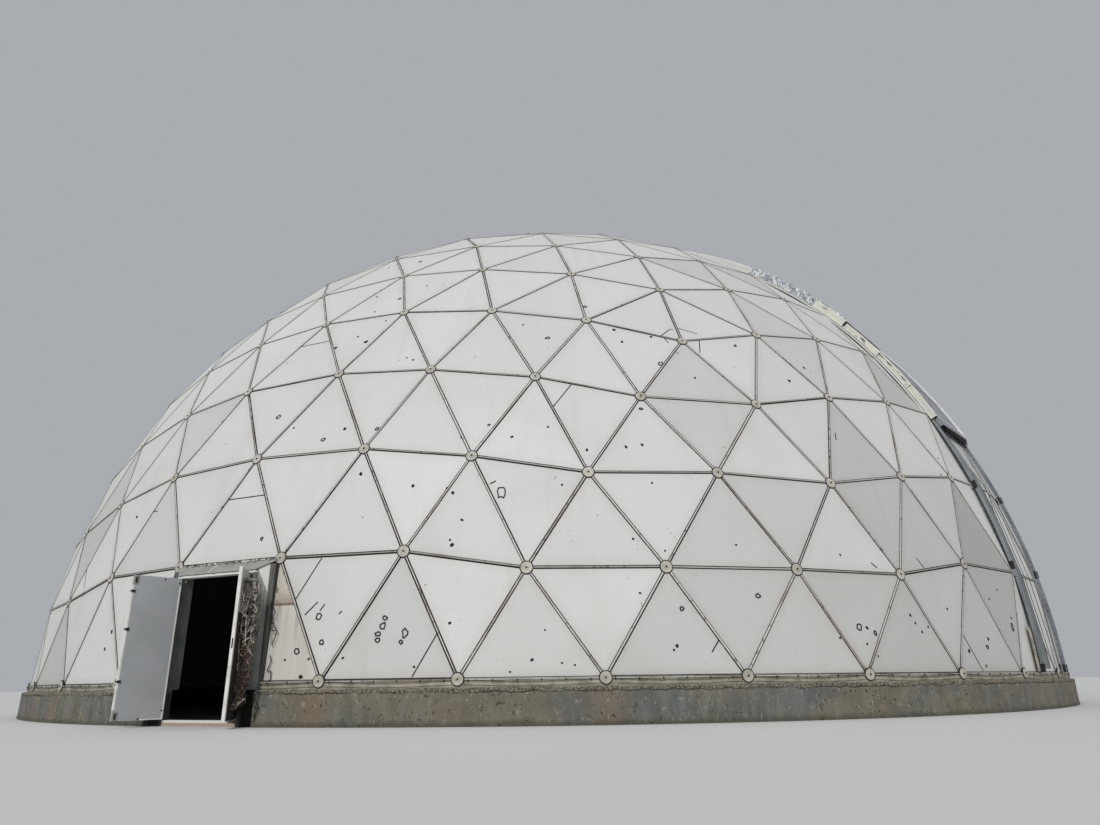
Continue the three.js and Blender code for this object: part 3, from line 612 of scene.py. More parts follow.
def arc_strip(bm, start, end, across, radii, index=0, steps=60):
    """A strip that follows the slit: a small section turned from one angle to another."""
    left, right = sorted(across)
    low, high = radii
    here = slit_frame(start)
    section = ((left, low), (right, low), (right, high), (left, high))
    corners = [here @ Vector((x, 0, radius)) for x, radius in section]
    spin_section(bm, corners, -math.radians(end - start), steps, index, CENTRE, SLIT_ACROSS)


# Geodesic grid
CUT_MARGIN = 1e-5
DOORWAY_NEAR = {"ahead": -13, "across": 3.2, "height": 4.6}
SLIT_NEAR = {"across": 3.4, "angle": 11}


def cut_window(bm, near, planes):
    """Cuts the faces near a window along its planes and takes out what lies behind all of them."""
    for point, outward in planes:
        faces = [face for face in bm.faces if near(face.calc_center_median())]
        edges = {edge for face in faces for edge in face.edges}
        verts = {vert for face in faces for vert in face.verts}
        parts = [*faces, *edges, *verts]
        bmesh.ops.bisect_plane(bm, geom=parts, dist=CUT_MARGIN, plane_co=point, plane_no=outward)

    def inside(face):
        middle = face.calc_center_median()
        return near(middle) and all((middle - point).dot(outward) < 0 for point, outward in planes)

    bmesh.ops.delete(bm, geom=[face for face in bm.faces if inside(face)], context="FACES")


def cut_doorway(bm):
    def near(point):
        beside = abs(point.x) < DOORWAY_NEAR["across"] and point.z < DOORWAY_NEAR["height"]
        return beside and point.y < DOORWAY_NEAR["ahead"]

    planes = [
        (Vector((DOORWAY_HALF, 0, 0)), Vector((1, 0, 0))),
        (Vector((-DOORWAY_HALF, 0, 0)), Vector((-1, 0, 0))),
        (Vector((0, 0, DOORWAY_TOP)), Vector((0, 0, 1))),
    ]
    cut_window(bm, near, planes)


def cut_slit(bm):
    def near(point):
        side, angle, _ = slit_coordinates(point)
        beside = abs(side) < SLIT_NEAR["across"]
        return beside and SLIT_START - SLIT_NEAR["angle"] < angle < SLIT_END + SLIT_NEAR["angle"]

    cut_window(bm, near, slit_planes(-SLIT_HALF, SLIT_HALF, SLIT_START, SLIT_END))


def dome_skin(radius):
    """The upper half of the grid as an open skin, before its windows are cut."""
    bm = bmesh.new()
    bmesh.ops.create_icosphere(bm, subdivisions=1, radius=radius)
    for _ in range(GRID_HALVINGS):
        bmesh.ops.subdivide_edges(bm, edges=bm.edges[:], cuts=1, use_grid_fill=True)
        for vert in bm.verts:
            vert.co = vert.co.normalized() * radius
    place = Matrix.Translation(CENTRE) @ Matrix.Rotation(GRID_TURN, 4, "Z")
    bmesh.ops.transform(bm, matrix=place, verts=bm.verts)
    below = [face for face in bm.faces if face.calc_center_median().z < EQUATOR_Z]
    bmesh.ops.delete(bm, geom=below, context="FACES")
    return bm


def grid_points():
    """The points of the grid, the places of its hubs."""
    skin = dome_skin(SPHERE_RADIUS)
    points = [vert.co.copy() for vert in skin.verts]
    skin.free()
    return points


def skin_tree():
    skin = dome_skin(SPHERE_RADIUS)
    tree = BVHTree.FromBMesh(skin)
    skin.free()
    return tree


place_camera()
SKIN = skin_tree()


def on_shell(pixel):
    """Point, normal and distance of what the photograph's pixel shows on the shell."""
    point, normal, _, distance = SKIN.ray_cast(camera_place(), photo_ray(pixel))
    return point, normal, distance


# Panel sheets
SHEET_LIFT = 0.0005
SHEET_DEPTH = 0.003
SHEET_MARGIN = 0.030
GRIME_WIDTH = 0.16

# Greyness of the panels that stand out in the photograph, each panel given by a pixel inside it
PANEL_TONES = {
    0.58: [(976, 538)],
    0.48: [(1000, 601)],
    0.34: [
        (852, 450), (891, 388), (878, 510), (983, 635), (910, 645), (56, 658), (922, 537), (92, 546),
    ],
    0.26: [(856, 605), (737, 603), (942, 602), (117, 494)],
    0.20: [
        (529, 497), (782, 507), (155, 540), (204, 428), (673, 639), (393, 636), (801, 356), (467, 523),
        (939, 505), (693, 379), (704, 424), (766, 321), (696, 271), (727, 537), (803, 638),
    ],
    0.0: [(984, 513), (378, 304), (589, 258), (100, 561), (731, 359), (391, 351), (675, 278)],
}
STAINED_PANEL_PIXEL = (285, 640)


def panel_tones(bm):
    """Tone of each panel: a seeded spread, then what the photograph shows of some panels."""
    tone = bm.faces.layers.float.new("tone")
    stain = bm.faces.layers.float.new("stain")
    tree = BVHTree.FromBMesh(bm)
    bm.faces.ensure_lookup_table()
    for face in bm.faces:
        face[tone] = max(0.0, chance.gauss(0.03, 0.05))

    def picked(pixel):
        return bm.faces[tree.ray_cast(camera_place(), photo_ray(pixel))[2]]

    for share, pixels in PANEL_TONES.items():
        for pixel in pixels:
            picked(pixel)[tone] = share
    picked(STAINED_PANEL_PIXEL)[stain] = 1.0


def inset(bm, faces, width):
    """Sets faces in from their edges, and gives the faces of the frames that this leaves."""
    return bmesh.ops.inset_individual(bm, faces=faces, thickness=width, use_even_offset=True)["faces"]


def panel_sheets():
    """One sheet on each triangle, with grime towards its seams."""
    bm = dome_skin(SPHERE_RADIUS + SHEET_LIFT)
    panel_tones(bm)
    bmesh.ops.delete(bm, geom=inset(bm, bm.faces[:], SHEET_MARGIN), context="FACES")
    grime = bm.verts.layers.float.new("grime")
    for vert in bm.verts:
        vert[grime] = 1.0
    sheets = bm.faces[:]
    inset(bm, sheets, GRIME_WIDTH)
    for face in sheets:
        for vert in face.verts:
            vert[grime] = 0.0
    cut_doorway(bm)
    cut_slit(bm)
    thicken(bm, SHEET_DEPTH)
    finish_piece("panel_sheets", bm, [PANEL])


# Seams
SEALANT_LIFT = 0.0005
SEALANT_DEPTH = 0.0045
SEALANT_HALF_WIDTHS = (0.027, 0.030, 0.034)
BATTEN_LIFT = 0.0052
BATTEN_DEPTH = 0.006
BATTEN_HALF_WIDTHS = (0.007, 0.010, 0.013)

# The side of a seam that looks dark in the photograph, where the sealant carries painted shadow, and how far
# the battens stand off it
SHADE_SIDE = Vector((0.46, 0.20, -0.86))
BATTEN_SLIP = 0.004

# A seam counts as level below this rise for its length, and as bold by a fixed pattern of cells
LEVEL_RISE = 0.3
BOLD_CELL_SCALE = 1.7
BOLD_ABOVE = 0.25


def seam_net(name, finish, lift, depth, half_widths, slip=0.0):
    """A net of strips over every seam, as wide on each side as the panel's own half width."""
    bm = dome_skin(SPHERE_RADIUS + lift)
    for vert in bm.verts:
        arm = vert.co - CENTRE - SHADE_SIDE * slip
        vert.co = CENTRE + arm.normalized() * (SPHERE_RADIUS + lift)
    level = bm.faces.layers.float.new("level")
    bold = bm.faces.layers.float.new("bold")
    shaded = bm.faces.layers.float.new("shaded")
    groups = {width: [] for width in half_widths}
    for face in bm.faces:
        groups[chance.choice(half_widths)].append(face)
    for width, faces in groups.items():
        for strip in inset(bm, faces, width):
            longest = max(strip.edges, key=lambda edge: edge.calc_length())
            first, last = (vert.co for vert in longest.verts)
            middle = (first + last) / 2
            towards_panel = (strip.calc_center_median() - middle).normalized()
            # Level seams are marked for painted shade in the sealant and battens, the shaded side of each
            # seam for painted shadow in the sealant
            strip[level] = 1.0 if abs(first.z - last.z) / longest.calc_length() < LEVEL_RISE else 0.0
            strip[bold] = 1.0 if noise.cell(middle * BOLD_CELL_SCALE) > BOLD_ABOVE else 0.0
            strip[shaded] = max(0.0, towards_panel.dot(SHADE_SIDE))
    panels = [face for faces in groups.values() for face in faces]
    bmesh.ops.delete(bm, geom=panels, context="FACES")
    cut_doorway(bm)
    cut_slit(bm)
    thicken(bm, depth)
    finish_piece(name, bm, [finish])


# Hub plates
# Dark rim, plate, washer and bolt head: lift, radius, top radius, depth, sides and finish of each
HUB_DISCS = [
    (-0.006, 0.118, 0.118, 0.022, 20, 1), (0.004, 0.103, 0.099, 0.018, 20, 0),
    (0.014, 0.046, 0.040, 0.008, 12, 0), (0.024, 0.019, 0.016, 0.016, 6, 2),
]
BASE_HUB_SCALE = 0.94
BASE_HUB_LIFT = STRIP_OUTER - SPHERE_RADIUS + 0.004
BASE_ROW_TOP = EQUATOR_Z + 0.01
RAIL_BAND = (0.85, 1.42)
RAIL_ANGLES = (-1, 122)
SLIT_FRAME_WIDTH = 0.15
SLIT_FRAME_ANGLE = 0.5


def under_rails(point):
    """Whether a hub would stand in the slit or under one of its rails."""
    side, angle, _ = slit_coordinates(point)
    off_middle = abs(side)
    beside_slit = SLIT_START - SLIT_FRAME_ANGLE < angle < SLIT_END + SLIT_FRAME_ANGLE
    on_rails = RAIL_BAND[0] < off_middle < RAIL_BAND[1] and RAIL_ANGLES[0] < angle < RAIL_ANGLES[1]
    return on_rails or (beside_slit and off_middle < SLIT_HALF + SLIT_FRAME_WIDTH)


def in_doorway(point):
    return point.y < 0 and abs(point.x) < DOORWAY_HALF and point.z < DOORWAY_TOP


def hub_plates():
    """A round plate with a washer and a bolt on each hub; those of the base row stand on the base strip."""
    bm = bmesh.new()
    for point in grid_points():
        if under_rails(point) or in_doorway(point):
            continue
        normal = (point - CENTRE).normalized()
        base_row = point.z < BASE_ROW_TOP
        size = BASE_HUB_SCALE if base_row else 1.0
        foot = Matrix.Translation(point + normal * (BASE_HUB_LIFT if base_row else 0.0))
        place = foot @ facing(normal, chance.uniform(0, 1)) @ Matrix.Diagonal((size, size, 1, 1))
        for lift, radius, top_radius, depth, sides, finish in HUB_DISCS:
            add_disc(bm, place @ Matrix.Translation((0, 0, lift)), radius, depth, sides, finish, top_radius)
    finish_piece("hub_plates", bm, [HUB_PLATE, SEALANT, BOLT])


# Marks on the panels, in pixels of the photograph: x, y and size, or from one point to another
PATCHES = [
    (501, 493, 9, 13), (319, 617, 6, 7), (322, 642, 5, 6), (385, 618, 6, 5), (383, 626, 6, 8),
    (378, 634, 7, 5), (378, 640, 6, 5), (405, 633, 6, 10), (401, 642, 5, 5), (297, 651, 7, 6),
    (758, 596, 6, 5), (682, 609, 5, 5), (279, 417, 6, 5), (323, 440, 6, 5), (377, 429, 5, 4),
    (661, 364, 6, 6), (859, 627, 6, 6), (262, 539, 4, 4), (1012, 627, 4, 8), (585, 307, 4, 4),
    (641, 409, 5, 3), (875, 633, 4, 5), (735, 346, 4, 3), (987, 647, 4, 4), (548, 338, 6, 4),
    (420, 262, 4, 3), (400, 299, 4, 3),
]
HOLES = [
    (462, 520, 3), (450, 540, 2), (452, 545, 4), (453, 493, 3), (413, 486, 3), (532, 660, 3),
    (285, 660, 2), (309, 659, 3), (301, 677, 4), (450, 623, 3), (614, 330, 3), (695, 378, 2),
    (804, 368, 3), (789, 381, 3), (345, 429, 3), (361, 474, 4), (294, 428, 2), (366, 342, 4),
    (407, 358, 2), (840, 638, 2), (910, 615, 3), (915, 623, 2), (587, 450, 3), (562, 663, 2),
    (105, 649, 3), (112, 632, 3), (694, 517, 2), (652, 483, 2), (633, 539, 2), (640, 593, 2),
    (575, 665, 2), (651, 337, 3), (622, 342, 3), (677, 646, 3), (674, 650, 2), (997, 590, 2),
    (377, 297, 2), (375, 312, 2), (386, 321, 2), (413, 360, 2), (336, 348, 3), (358, 337, 2),
    (427, 286, 2), (512, 437, 3), (489, 425, 3), (548, 427, 2), (462, 437, 3), (447, 488, 2),
    (137, 517, 3), (545, 630, 2), (562, 485, 2), (626, 447, 3), (642, 445, 3), (665, 551, 2),
    (343, 658, 2), (338, 652, 3), (510, 672, 2), (414, 667, 2), (736, 545, 2), (840, 555, 2),
    (1011, 618, 2), (867, 628, 3), (867, 644, 2), (878, 656, 2), (922, 632, 2), (928, 627, 2),
    (947, 609, 2), (969, 651, 3), (988, 639, 3), (986, 666, 2), (989, 599, 2), (389, 268, 2),
    (523, 325, 2),
]
SCRATCHES = [
    ((305, 615), (318, 602)), ((871, 563), (877, 568)), ((720, 638), (712, 652)), ((490, 484), (496, 481)),
    ((339, 614), (342, 611)), ((835, 433), (836, 440)), ((320, 611), (325, 604)),
]
THIN_SEAMS = [
    ((322, 558), (296, 599)), ((437, 634), (412, 677)), ((571, 385), (553, 407)), ((265, 495), (229, 500)),
    ((331, 341), (301, 347)), ((963, 635), (983, 671)), ((916, 558), (924, 568)), ((938, 458), (941, 476)),
    ((661, 336), (669, 330)), ((664, 338), (678, 354)), ((669, 330), (680, 329)), ((680, 329), (697, 334)),
    ((699, 340), (700, 353)), ((75, 576), (87, 570)), ((87, 570), (83, 596)), ((153, 512), (158, 511)),
]
HOLE_RIM = 0.5
MARK_LIFT = 0.0042
MARK_STEP = 0.001
MARK_DEPTH = 0.003
PATCH_BEAD = 0.020
BEAD_RISE = 0.008
SCRATCH_WIDTH = 0.022
THIN_SEAM_WIDTH = 0.020


def mark_place(pixel, lift):
    """Point, normal and placing move for a mark on the shell, and how long a pixel is there."""
    point, normal, distance = on_shell(pixel)
    return point, normal, Matrix.Translation(point + normal * lift), distance / FOCAL_PIXELS


def outline_patch(bm, pixel, width, height):
    """An uneven bead of sealant round an old patch."""
    point, normal, move, metre = mark_place(pixel, MARK_LIFT)
    place = move @ facing(normal) @ Matrix.Diagonal((width * metre, height * metre, 1, 1))
    made = bmesh.ops.create_circle(bm, cap_ends=True, segments=10, radius=0.5, matrix=place)["verts"]
    for vert in made:
        vert.co += (vert.co - point) * chance.uniform(-0.28, 0.22)
    patch = made[0].link_faces[0]
    if patch.normal.dot(normal) < 0:
        patch.normal_flip()
    ring = inset(bm, [patch], PATCH_BEAD)
    bmesh.ops.delete(bm, geom=[patch], context="FACES_ONLY")
    made = bmesh.ops.extrude_face_region(bm, geom=ring)["geom"]
    raised = [item for item in made if isinstance(item, bmesh.types.BMVert)]
    bmesh.ops.translate(bm, verts=raised, vec=normal * BEAD_RISE)


def add_hole(bm, pixel, width):
    """A small uneven dark disc, as a hole in the sheet."""
    point, normal, move, metre = mark_place(pixel, MARK_LIFT + MARK_STEP)
    turn = facing(normal, chance.uniform(0, 3))
    place = move @ turn @ Matrix.Diagonal((1, chance.uniform(0.6, 1.0), 1, 1))
    for vert in add_disc(bm, place, (width + HOLE_RIM) * metre / 2, MARK_DEPTH, 8):
        vert.co += (vert.co - point) * chance.uniform(-0.2, 0.2)


def lay_strip(bm, first, last, width):
    """A thin strip on the shell between two pixels of the photograph."""
    start, normal, _ = on_shell(first)
    end = on_shell(last)[0]
    along = (end - start).normalized()
    side = normal.cross(along).normalized()
    axes = Matrix((side, along, side.cross(along))).transposed().to_4x4()
    middle = (start + end) / 2 + normal * (MARK_LIFT + MARK_STEP)
    add_block(bm, Matrix.Translation(middle) @ axes, (width, (end - start).length, MARK_DEPTH))


def panel_marks():
    """Patch outlines, small holes, scratches and the thin seams of mended panels."""
    bm = bmesh.new()
    for x, y, width, height in PATCHES:
        outline_patch(bm, (x, y), width, height)
    for x, y, width in HOLES:
        add_hole(bm, (x, y), width)
    for first, last in SCRATCHES:
        lay_strip(bm, first, last, SCRATCH_WIDTH)
    for first, last in THIN_SEAMS:
        lay_strip(bm, first, last, THIN_SEAM_WIDTH)
    finish_piece("panel_marks", bm, [DARK_MARK_AND_SHADE])


# Base
PLINTH_STEPS = 220
PLINTH_ROWS = 9
PLINTH_TRIM = 0.00002
HUB_STAIN_WIDTH = 0.34
WEAR_DEPTH = 0.007
WEAR_LIMIT = 0.05
RIM_BAND = 0.09
CHIP_DEPTH = 0.05
CHIP_FALL = 0.55

# Bands round the base strip: foot, head, how far they stand out, and finish
BASE_BANDS = [(0.688, 0.699, 0.005, 0), (0.679, 0.687, 0.010, 1), (0.618, 0.626, 0.006, 2)]
BASE_BAND_INNER = STRIP_OUTER - 0.004
BASE_BOLT_COUNT = 236
BASE_BOLT_HEIGHT = 0.682
BASE_BOLT_MARGIN = 0.01


def plinth_section():
    """Corners of the ring's section as (radius, height), close together on the weathered outer side."""
    rows = [(PLINTH_OUTER, PLINTH_HEIGHT * i / PLINTH_ROWS) for i in range(PLINTH_ROWS)]
    rim = [(PLINTH_OUTER, PLINTH_HEIGHT - 0.018), (PLINTH_OUTER - 0.018, PLINTH_HEIGHT)]
    top = [(PLINTH_OUTER - 0.08, PLINTH_HEIGHT), (PLINTH_INNER, PLINTH_HEIGHT), (PLINTH_INNER, 0.0)]
    return rows + rim + top


def weather(bm):
    """Wears the outer face and chips the rim, always inwards of the cast shape."""
    for vert in bm.verts:
        radius = math.hypot(vert.co.x, vert.co.y)
        if radius < PLINTH_OUTER - WEAR_LIMIT or vert.co.z < 0.001:
            continue
        worn = WEAR_DEPTH * (1 + noise.fractal(vert.co * 1.7, 1.0, 2.0, 4))
        near_rim = max(0.0, (vert.co.z - (PLINTH_HEIGHT - RIM_BAND)) / RIM_BAND)
        chip = max(0.0, noise.noise(vert.co * 5.5) + 0.15) * CHIP_DEPTH * near_rim
        inward = Vector((vert.co.x, vert.co.y, 0)) / radius
        vert.co -= inward * min(WEAR_LIMIT, max(0.0, worn) + chip)
        vert.co.z -= chip * CHIP_FALL


def plinth_quarter(index, hub_stains):
    """One cast quarter of the ring, stained under the hubs, which takes the place of its plain solid."""
    first = math.radians(-90 + 90 * index) + PLINTH_TRIM
    bm = bmesh.new()
    section = ring_section(first, plinth_section())
    spin_section(bm, section, math.radians(90) - 2 * PLINTH_TRIM, PLINTH_STEPS)
    stain = bm.verts.layers.float.new("stain")
    weather(bm)
    for vert in bm.verts:
        turn = math.atan2(vert.co.y, vert.co.x)
        for angle, share in hub_stains:
            apart = abs((turn - angle + math.pi) % (2 * math.pi) - math.pi) * PLINTH_OUTER
            vert[stain] += share * math.exp(-((apart / HUB_STAIN_WIDTH) ** 2))
    doorway_side = {0: 1, 3: -1}.get(index)
    if doorway_side:
        cut = bmesh.ops.bisect_plane(
            bm, geom=[*bm.faces, *bm.edges, *bm.verts], dist=1e-6, plane_no=(-doorway_side, 0, 0),
            plane_co=(doorway_side * DOORWAY_HALF, 0, 0), clear_outer=True,
        )["geom_cut"]
        edges = [item for item in cut if isinstance(item, bmesh.types.BMEdge)]
        bmesh.ops.holes_fill(bm, edges=edges, sides=0)
    set_normals(bm)
    node = f"plinth_{index + 1}"
    piece = finish_piece(f"weathered_{node}", bm, [CONCRETE])
    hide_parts(node)


def add_plinth():
    angles = sorted(math.atan2(point.y, point.x) for point in grid_points() if point.z < BASE_ROW_TOP)
    hub_stains = [(angle, chance.choice((0.0, 0.3, 0.7, 1.0))) for angle in angles]
    for index in range(4):
        plinth_quarter(index, hub_stains)


def base_trim():
    """A skirt under the panels, a bead of sealant, a lip and bolt heads along the base strip."""
    bm = bmesh.new()
    gap = math.asin((DOORWAY_HALF + 0.002) / STRIP_OUTER)
    start = -math.pi / 2 + gap
    sweep = 2 * math.pi - 2 * gap
    for low, high, depth, finish in BASE_BANDS:
        outer = STRIP_OUTER + depth
        section = [(BASE_BAND_INNER, low), (outer, low), (outer, high), (BASE_BAND_INNER, high)]
        spin_section(bm, ring_section(start, section), sweep, 360, finish)
    set_normals(bm)
    pitch = (sweep - 2 * BASE_BOLT_MARGIN) / (BASE_BOLT_COUNT - 1)
    for step in range(BASE_BOLT_COUNT):
        turn = start + BASE_BOLT_MARGIN + step * pitch
        outward = Vector((math.cos(turn), math.sin(turn), 0))
        spot = outward * (STRIP_OUTER + 0.010) + Vector((0, 0, BASE_BOLT_HEIGHT))
        add_disc(bm, Matrix.Translation(spot) @ facing(outward), 0.016, 0.012, 6, 3)
    finish_piece("base_trim", bm, [BATTEN, SEALANT, STRIP, BOLT])


# Doorway
def leaf_place(side, opening):
    """Placing matrix of a leaf on its hinge line, as far open as the photograph shows it."""
    hinge = Vector((side * DOOR_CLEAR_HALF, HINGE_Y, 0))
    return Matrix.Translation(hinge) @ Matrix.Rotation(math.radians(side * opening), 4, "Z")


LEFT_LEAF = leaf_place(-1, LEFT_LEAF_OPEN)
RIGHT_LEAF = leaf_place(1, RIGHT_LEAF_OPEN)
TRIM_PROUD = 0.003
EDGE_WRAP = 0.028
EDGE_STOP = 0.17
CORNER_CASES = [(LEAF_HEAD - 0.155, LEAF_HEAD - 0.004), (LEAF_FOOT + 0.004, LEAF_FOOT + 0.150)]
LEAF_SCREWS = [(0.31, 2.49), (0.045, 0.26), (0.045, 2.44), (0.42, 0.135)]
LATCH_HEIGHTS = (0.74, 1.60, 2.25)


def left_leaf_dress():
    """White edge channels, cases in the free corners, latches and screws on the left leaf's inner face."""
    bm = bmesh.new()
    face = LEAF_INNER_Y
    proud = face + TRIM_PROUD
    channel = (LEAF_FAR - EDGE_WRAP, LEAF_FAR + TRIM_PROUD)
    wrap = (LEAF_OUTER_Y - TRIM_PROUD, proud)
    span(bm, LEFT_LEAF, channel, wrap, (LEAF_FOOT + EDGE_STOP, LEAF_HEAD - EDGE_STOP), 0, 0.002)
    span(bm, LEFT_LEAF, (LEAF_NEAR, LEAF_NEAR + 0.026), (face, proud), (LEAF_FOOT + 0.02, LEAF_HEAD - 0.14))
    span(bm, LEFT_LEAF, (LEAF_NEAR, 0.40), (face, proud), (LEAF_FOOT, LEAF_FOOT + 0.020))
    for low, high in CORNER_CASES:
        case = (LEAF_FAR - 0.085, LEAF_FAR - 0.002)
        knob = (LEAF_FAR - 0.060, LEAF_FAR - 0.025)
        span(bm, LEFT_LEAF, case, (face, face + 0.012), (low, high), 1, 0.003)
        span(bm, LEFT_LEAF, knob, (face + 0.012, face + 0.022), (low + 0.02, high - 0.03), 2, 0.003)
    for along, height in LEAF_SCREWS:
        spot = LEFT_LEAF @ Matrix.Translation((along, face + 0.004, height))
        add_disc(bm, spot @ Matrix.Rotation(math.radians(-90), 4, "X"), 0.015, 0.008, 8, 2)
    for height in LATCH_HEIGHTS:
        body = (LEAF_FAR - 0.052, LEAF_FAR - 0.006)
        sleeve = (LEAF_FAR - 0.050, LEAF_FAR + 0.033)
        span(bm, LEFT_LEAF, body, (face, face + 0.0165), (height - 0.022, height + 0.022), 3)
        span(bm, LEFT_LEAF, sleeve, (face + 0.0065, face + 0.018), (height - 0.015, height + 0.015), 3)
    set_normals(bm)
    finishes = [TRIM_WHITE, FRAME_GREY, BOLT, RUBBER_AND_SHADE]
    finish_piece("left_leaf_dress", bm, finishes, "left_leaf")


def right_leaf_dress():
    """White channel along the right leaf's free edge, with the slot of its lock."""
    bm = bmesh.new()
    edge = -LEAF_FAR - TRIM_PROUD
    wrap = (LEAF_OUTER_Y - TRIM_PROUD, LEAF_INNER_Y + TRIM_PROUD)
    span(bm, RIGHT_LEAF, (edge, -LEAF_FAR + 0.070), wrap, (LEAF_FOOT, LEAF_HEAD), 0, 0.003)
    span(bm, RIGHT_LEAF, (edge - 0.002, -LEAF_FAR), (0.030, 0.050), (1.22, 1.38), 1)
    set_normals(bm)
    finish_piece("right_leaf_channel", bm, [TRIM_WHITE, DARK_MARK_AND_SHADE], "right_leaf")


LATH_STRANDS = 80
LATH_STICKS = 380
LATH_FOOT = 0.26
LATH_HEAD = 2.36
LATH_SHADE_TOP = 1.80
BRIGHT_LATH_ALONG = 0.45
ROOM_BY_PLINTH = 0.19
ROOM_MIDDLE = 0.25
ROOM_TOP = 0.24
# Bright rods of pale lath, partly painted highlights: lines of points, each a share of the room off the face
# and a height
BRIGHT_LATH = [
    [(0.08, 1.60), (0.55, 1.72), (0.30, 1.50)], [(0.62, 1.74), (0.85, 1.77)], [(0.75, 1.36), (0.98, 1.32)],
    [(0.02, 0.34), (0.75, 0.42)], [(0.35, 0.32), (1.00, 0.45)], [(0.05, 1.44), (0.60, 1.52)],
    [(0.50, 1.28), (0.95, 1.12)], [(0.10, 1.86), (0.70, 1.95), (0.95, 1.84)],
]


def lath_reach(along, height):
    """How far the tangle may stand off the leaf's outer face, less near the hinge and beside the plinth."""
    above_plinth = ROOM_MIDDLE if height < 1.9 else ROOM_TOP
    widest = ROOM_BY_PLINTH if height < PLINTH_HEIGHT + 0.05 else above_plinth
    return max(0.02, min(widest, 0.04 + (along - 0.05) * 1.4, (height - LATH_FOOT) * 1.2 + 0.06))


def lath_finish(height):
    """Paler at the top, rusty towards the foot."""
    rusty = height < chance.uniform(0.8, 1.9)
    return chance.choice((0, 0, 0, 2, 3, 4)) if rusty else chance.choice((0, 1, 3, 3, 4, 4))


def lath_end(along, height, share):
    """A point of the tangle: along the leaf, height, and share of the room that it has off the face."""
    height = min(max(height, LATH_FOOT), LATH_HEAD)
    return RIGHT_LEAF @ Vector((-along, LEAF_OUTER_Y - 0.01 - lath_reach(along, height) * share, height))


def right_leaf_lath():
    """Torn lath that hangs in a tangle on the right leaf's outer face."""
    bm = bmesh.new()
    backing = (LEAF_OUTER_Y - 0.006, LEAF_OUTER_Y)
    # A dark rusty sheet on the leaf's outer face, rust and painted shade that shows between the sticks
    span(bm, RIGHT_LEAF, (-LEAF_FAR + 0.09, -0.03), backing, (LEAF_FOOT + 0.01, LATH_SHADE_TOP), 3)
    for step in range(LATH_STRANDS + LATH_STICKS):
        along = chance.uniform(0.16, LEAF_FAR - 0.14)
        height = chance.uniform(LATH_FOOT, LATH_HEAD)
        share = chance.uniform(0.0, 1.0)
        if step < LATH_STRANDS:
            rise = chance.uniform(0.25, 0.6)
            lean = chance.uniform(-0.2, 0.2)
        else:
            rise = chance.uniform(-0.02, 0.16)
            lean = chance.choice((-1, 1)) * chance.uniform(0.15, 0.6)
        start = lath_end(along, height, share)
        end_along = along + chance.uniform(-0.05, 0.05)
        end = lath_end(end_along, height + rise, min(max(share + lean, 0.0), 1.0))
        if (end - start).length > 0.02:
            add_rod(bm, start, end, chance.choice((0.0035, 0.005, 0.007)), lath_finish(height), 4)
    # Bright rods that are pale lath and painted highlights
    for line in BRIGHT_LATH:
        points = [lath_end(BRIGHT_LATH_ALONG, height, share) for share, height in line]
        for start, end in zip(points, points[1:]):
            add_rod(bm, start, end, 0.013, 1, 4)
    finishes = [LATH_BROWN, LATH_PALE, WIRE_RUST, LATH_SHADE, LATH_GREY]
    finish_piece("right_leaf_lath", bm, finishes, "right_leaf")


TORN_FOOT = 2.02
TORN_HEAD = 2.40
TORN_ALONG = 0.44
TORN_OUT = 0.24
# Holes in the torn sheet: distance off the leaf, height and radius
TORN_HOLES = [(0.05, 2.30, 0.035), (0.02, 2.10, 0.022), (0.19, 2.12, 0.024)]
TORN_HOLES_ALONG = 0.62


def torn_sheet():
    """The grey sheet that is torn off the right leaf's head and stands out from its face."""
    def corner(out, rise):
        foot = TORN_FOOT + 0.16 * noise.noise(Vector((out * 6, 0.3, 1.7)))
        height = foot + (TORN_HEAD - 0.05 * out - foot) * rise
        along = TORN_ALONG + 0.10 * out + 0.07 * noise.noise(Vector((out * 3, rise * 3, 0.6)))
        return RIGHT_LEAF @ Vector((-along, LEAF_OUTER_Y - 0.006 - TORN_OUT * out, height))

    bm = bmesh.new()
    add_sheet(bm, 12, 12, corner)
    thicken(bm, -0.003)
    for out, height, size in TORN_HOLES:
        spot = RIGHT_LEAF @ Matrix.Translation((-TORN_HOLES_ALONG, LEAF_OUTER_Y - 0.02 - out, height))
        add_disc(bm, spot @ Matrix.Rotation(math.radians(90), 4, "Y"), size, 0.006, 7, 1)
    finish_piece("right_leaf_torn_sheet", bm, [FRAME_GREY, DARK_MARK_AND_SHADE], "right_leaf")


# Wire beside the right post: each line's upright plane, radius and pixels in the photograph
WIRE_PLANE_UPPER = -14.93
WIRE_PLANE_LOWER = -15.13
WIRES = [
    (WIRE_PLANE_UPPER, 0.008, [(271, 602), (275, 611), (272, 621), (277, 631), (272, 645)]),
    (WIRE_PLANE_UPPER, 0.008, [(270, 655), (271, 661), (267, 671), (271, 671), (270, 680), (268, 686)]),
    (WIRE_PLANE_UPPER, 0.008, [(272, 611), (272, 631), (277, 630)]),
    (WIRE_PLANE_LOWER, 0.008, [(259, 690), (254, 697), (258, 707), (253, 720)]),
    (WIRE_PLANE_LOWER, 0.008, [(254, 693), (253, 707), (258, 707)]),
    (WIRE_PLANE_UPPER, 0.006, [(271, 645), (271, 602)]),
    (WIRE_PLANE_LOWER, 0.006, [(253, 720), (259, 690)]),
]


def on_upright(pixel, depth):
    """Where a pixel's ray meets the upright plane at a depth in Y."""
    start = camera_place()
    ray = photo_ray(pixel)
    return start + ray * ((depth - start.y) / ray.y)


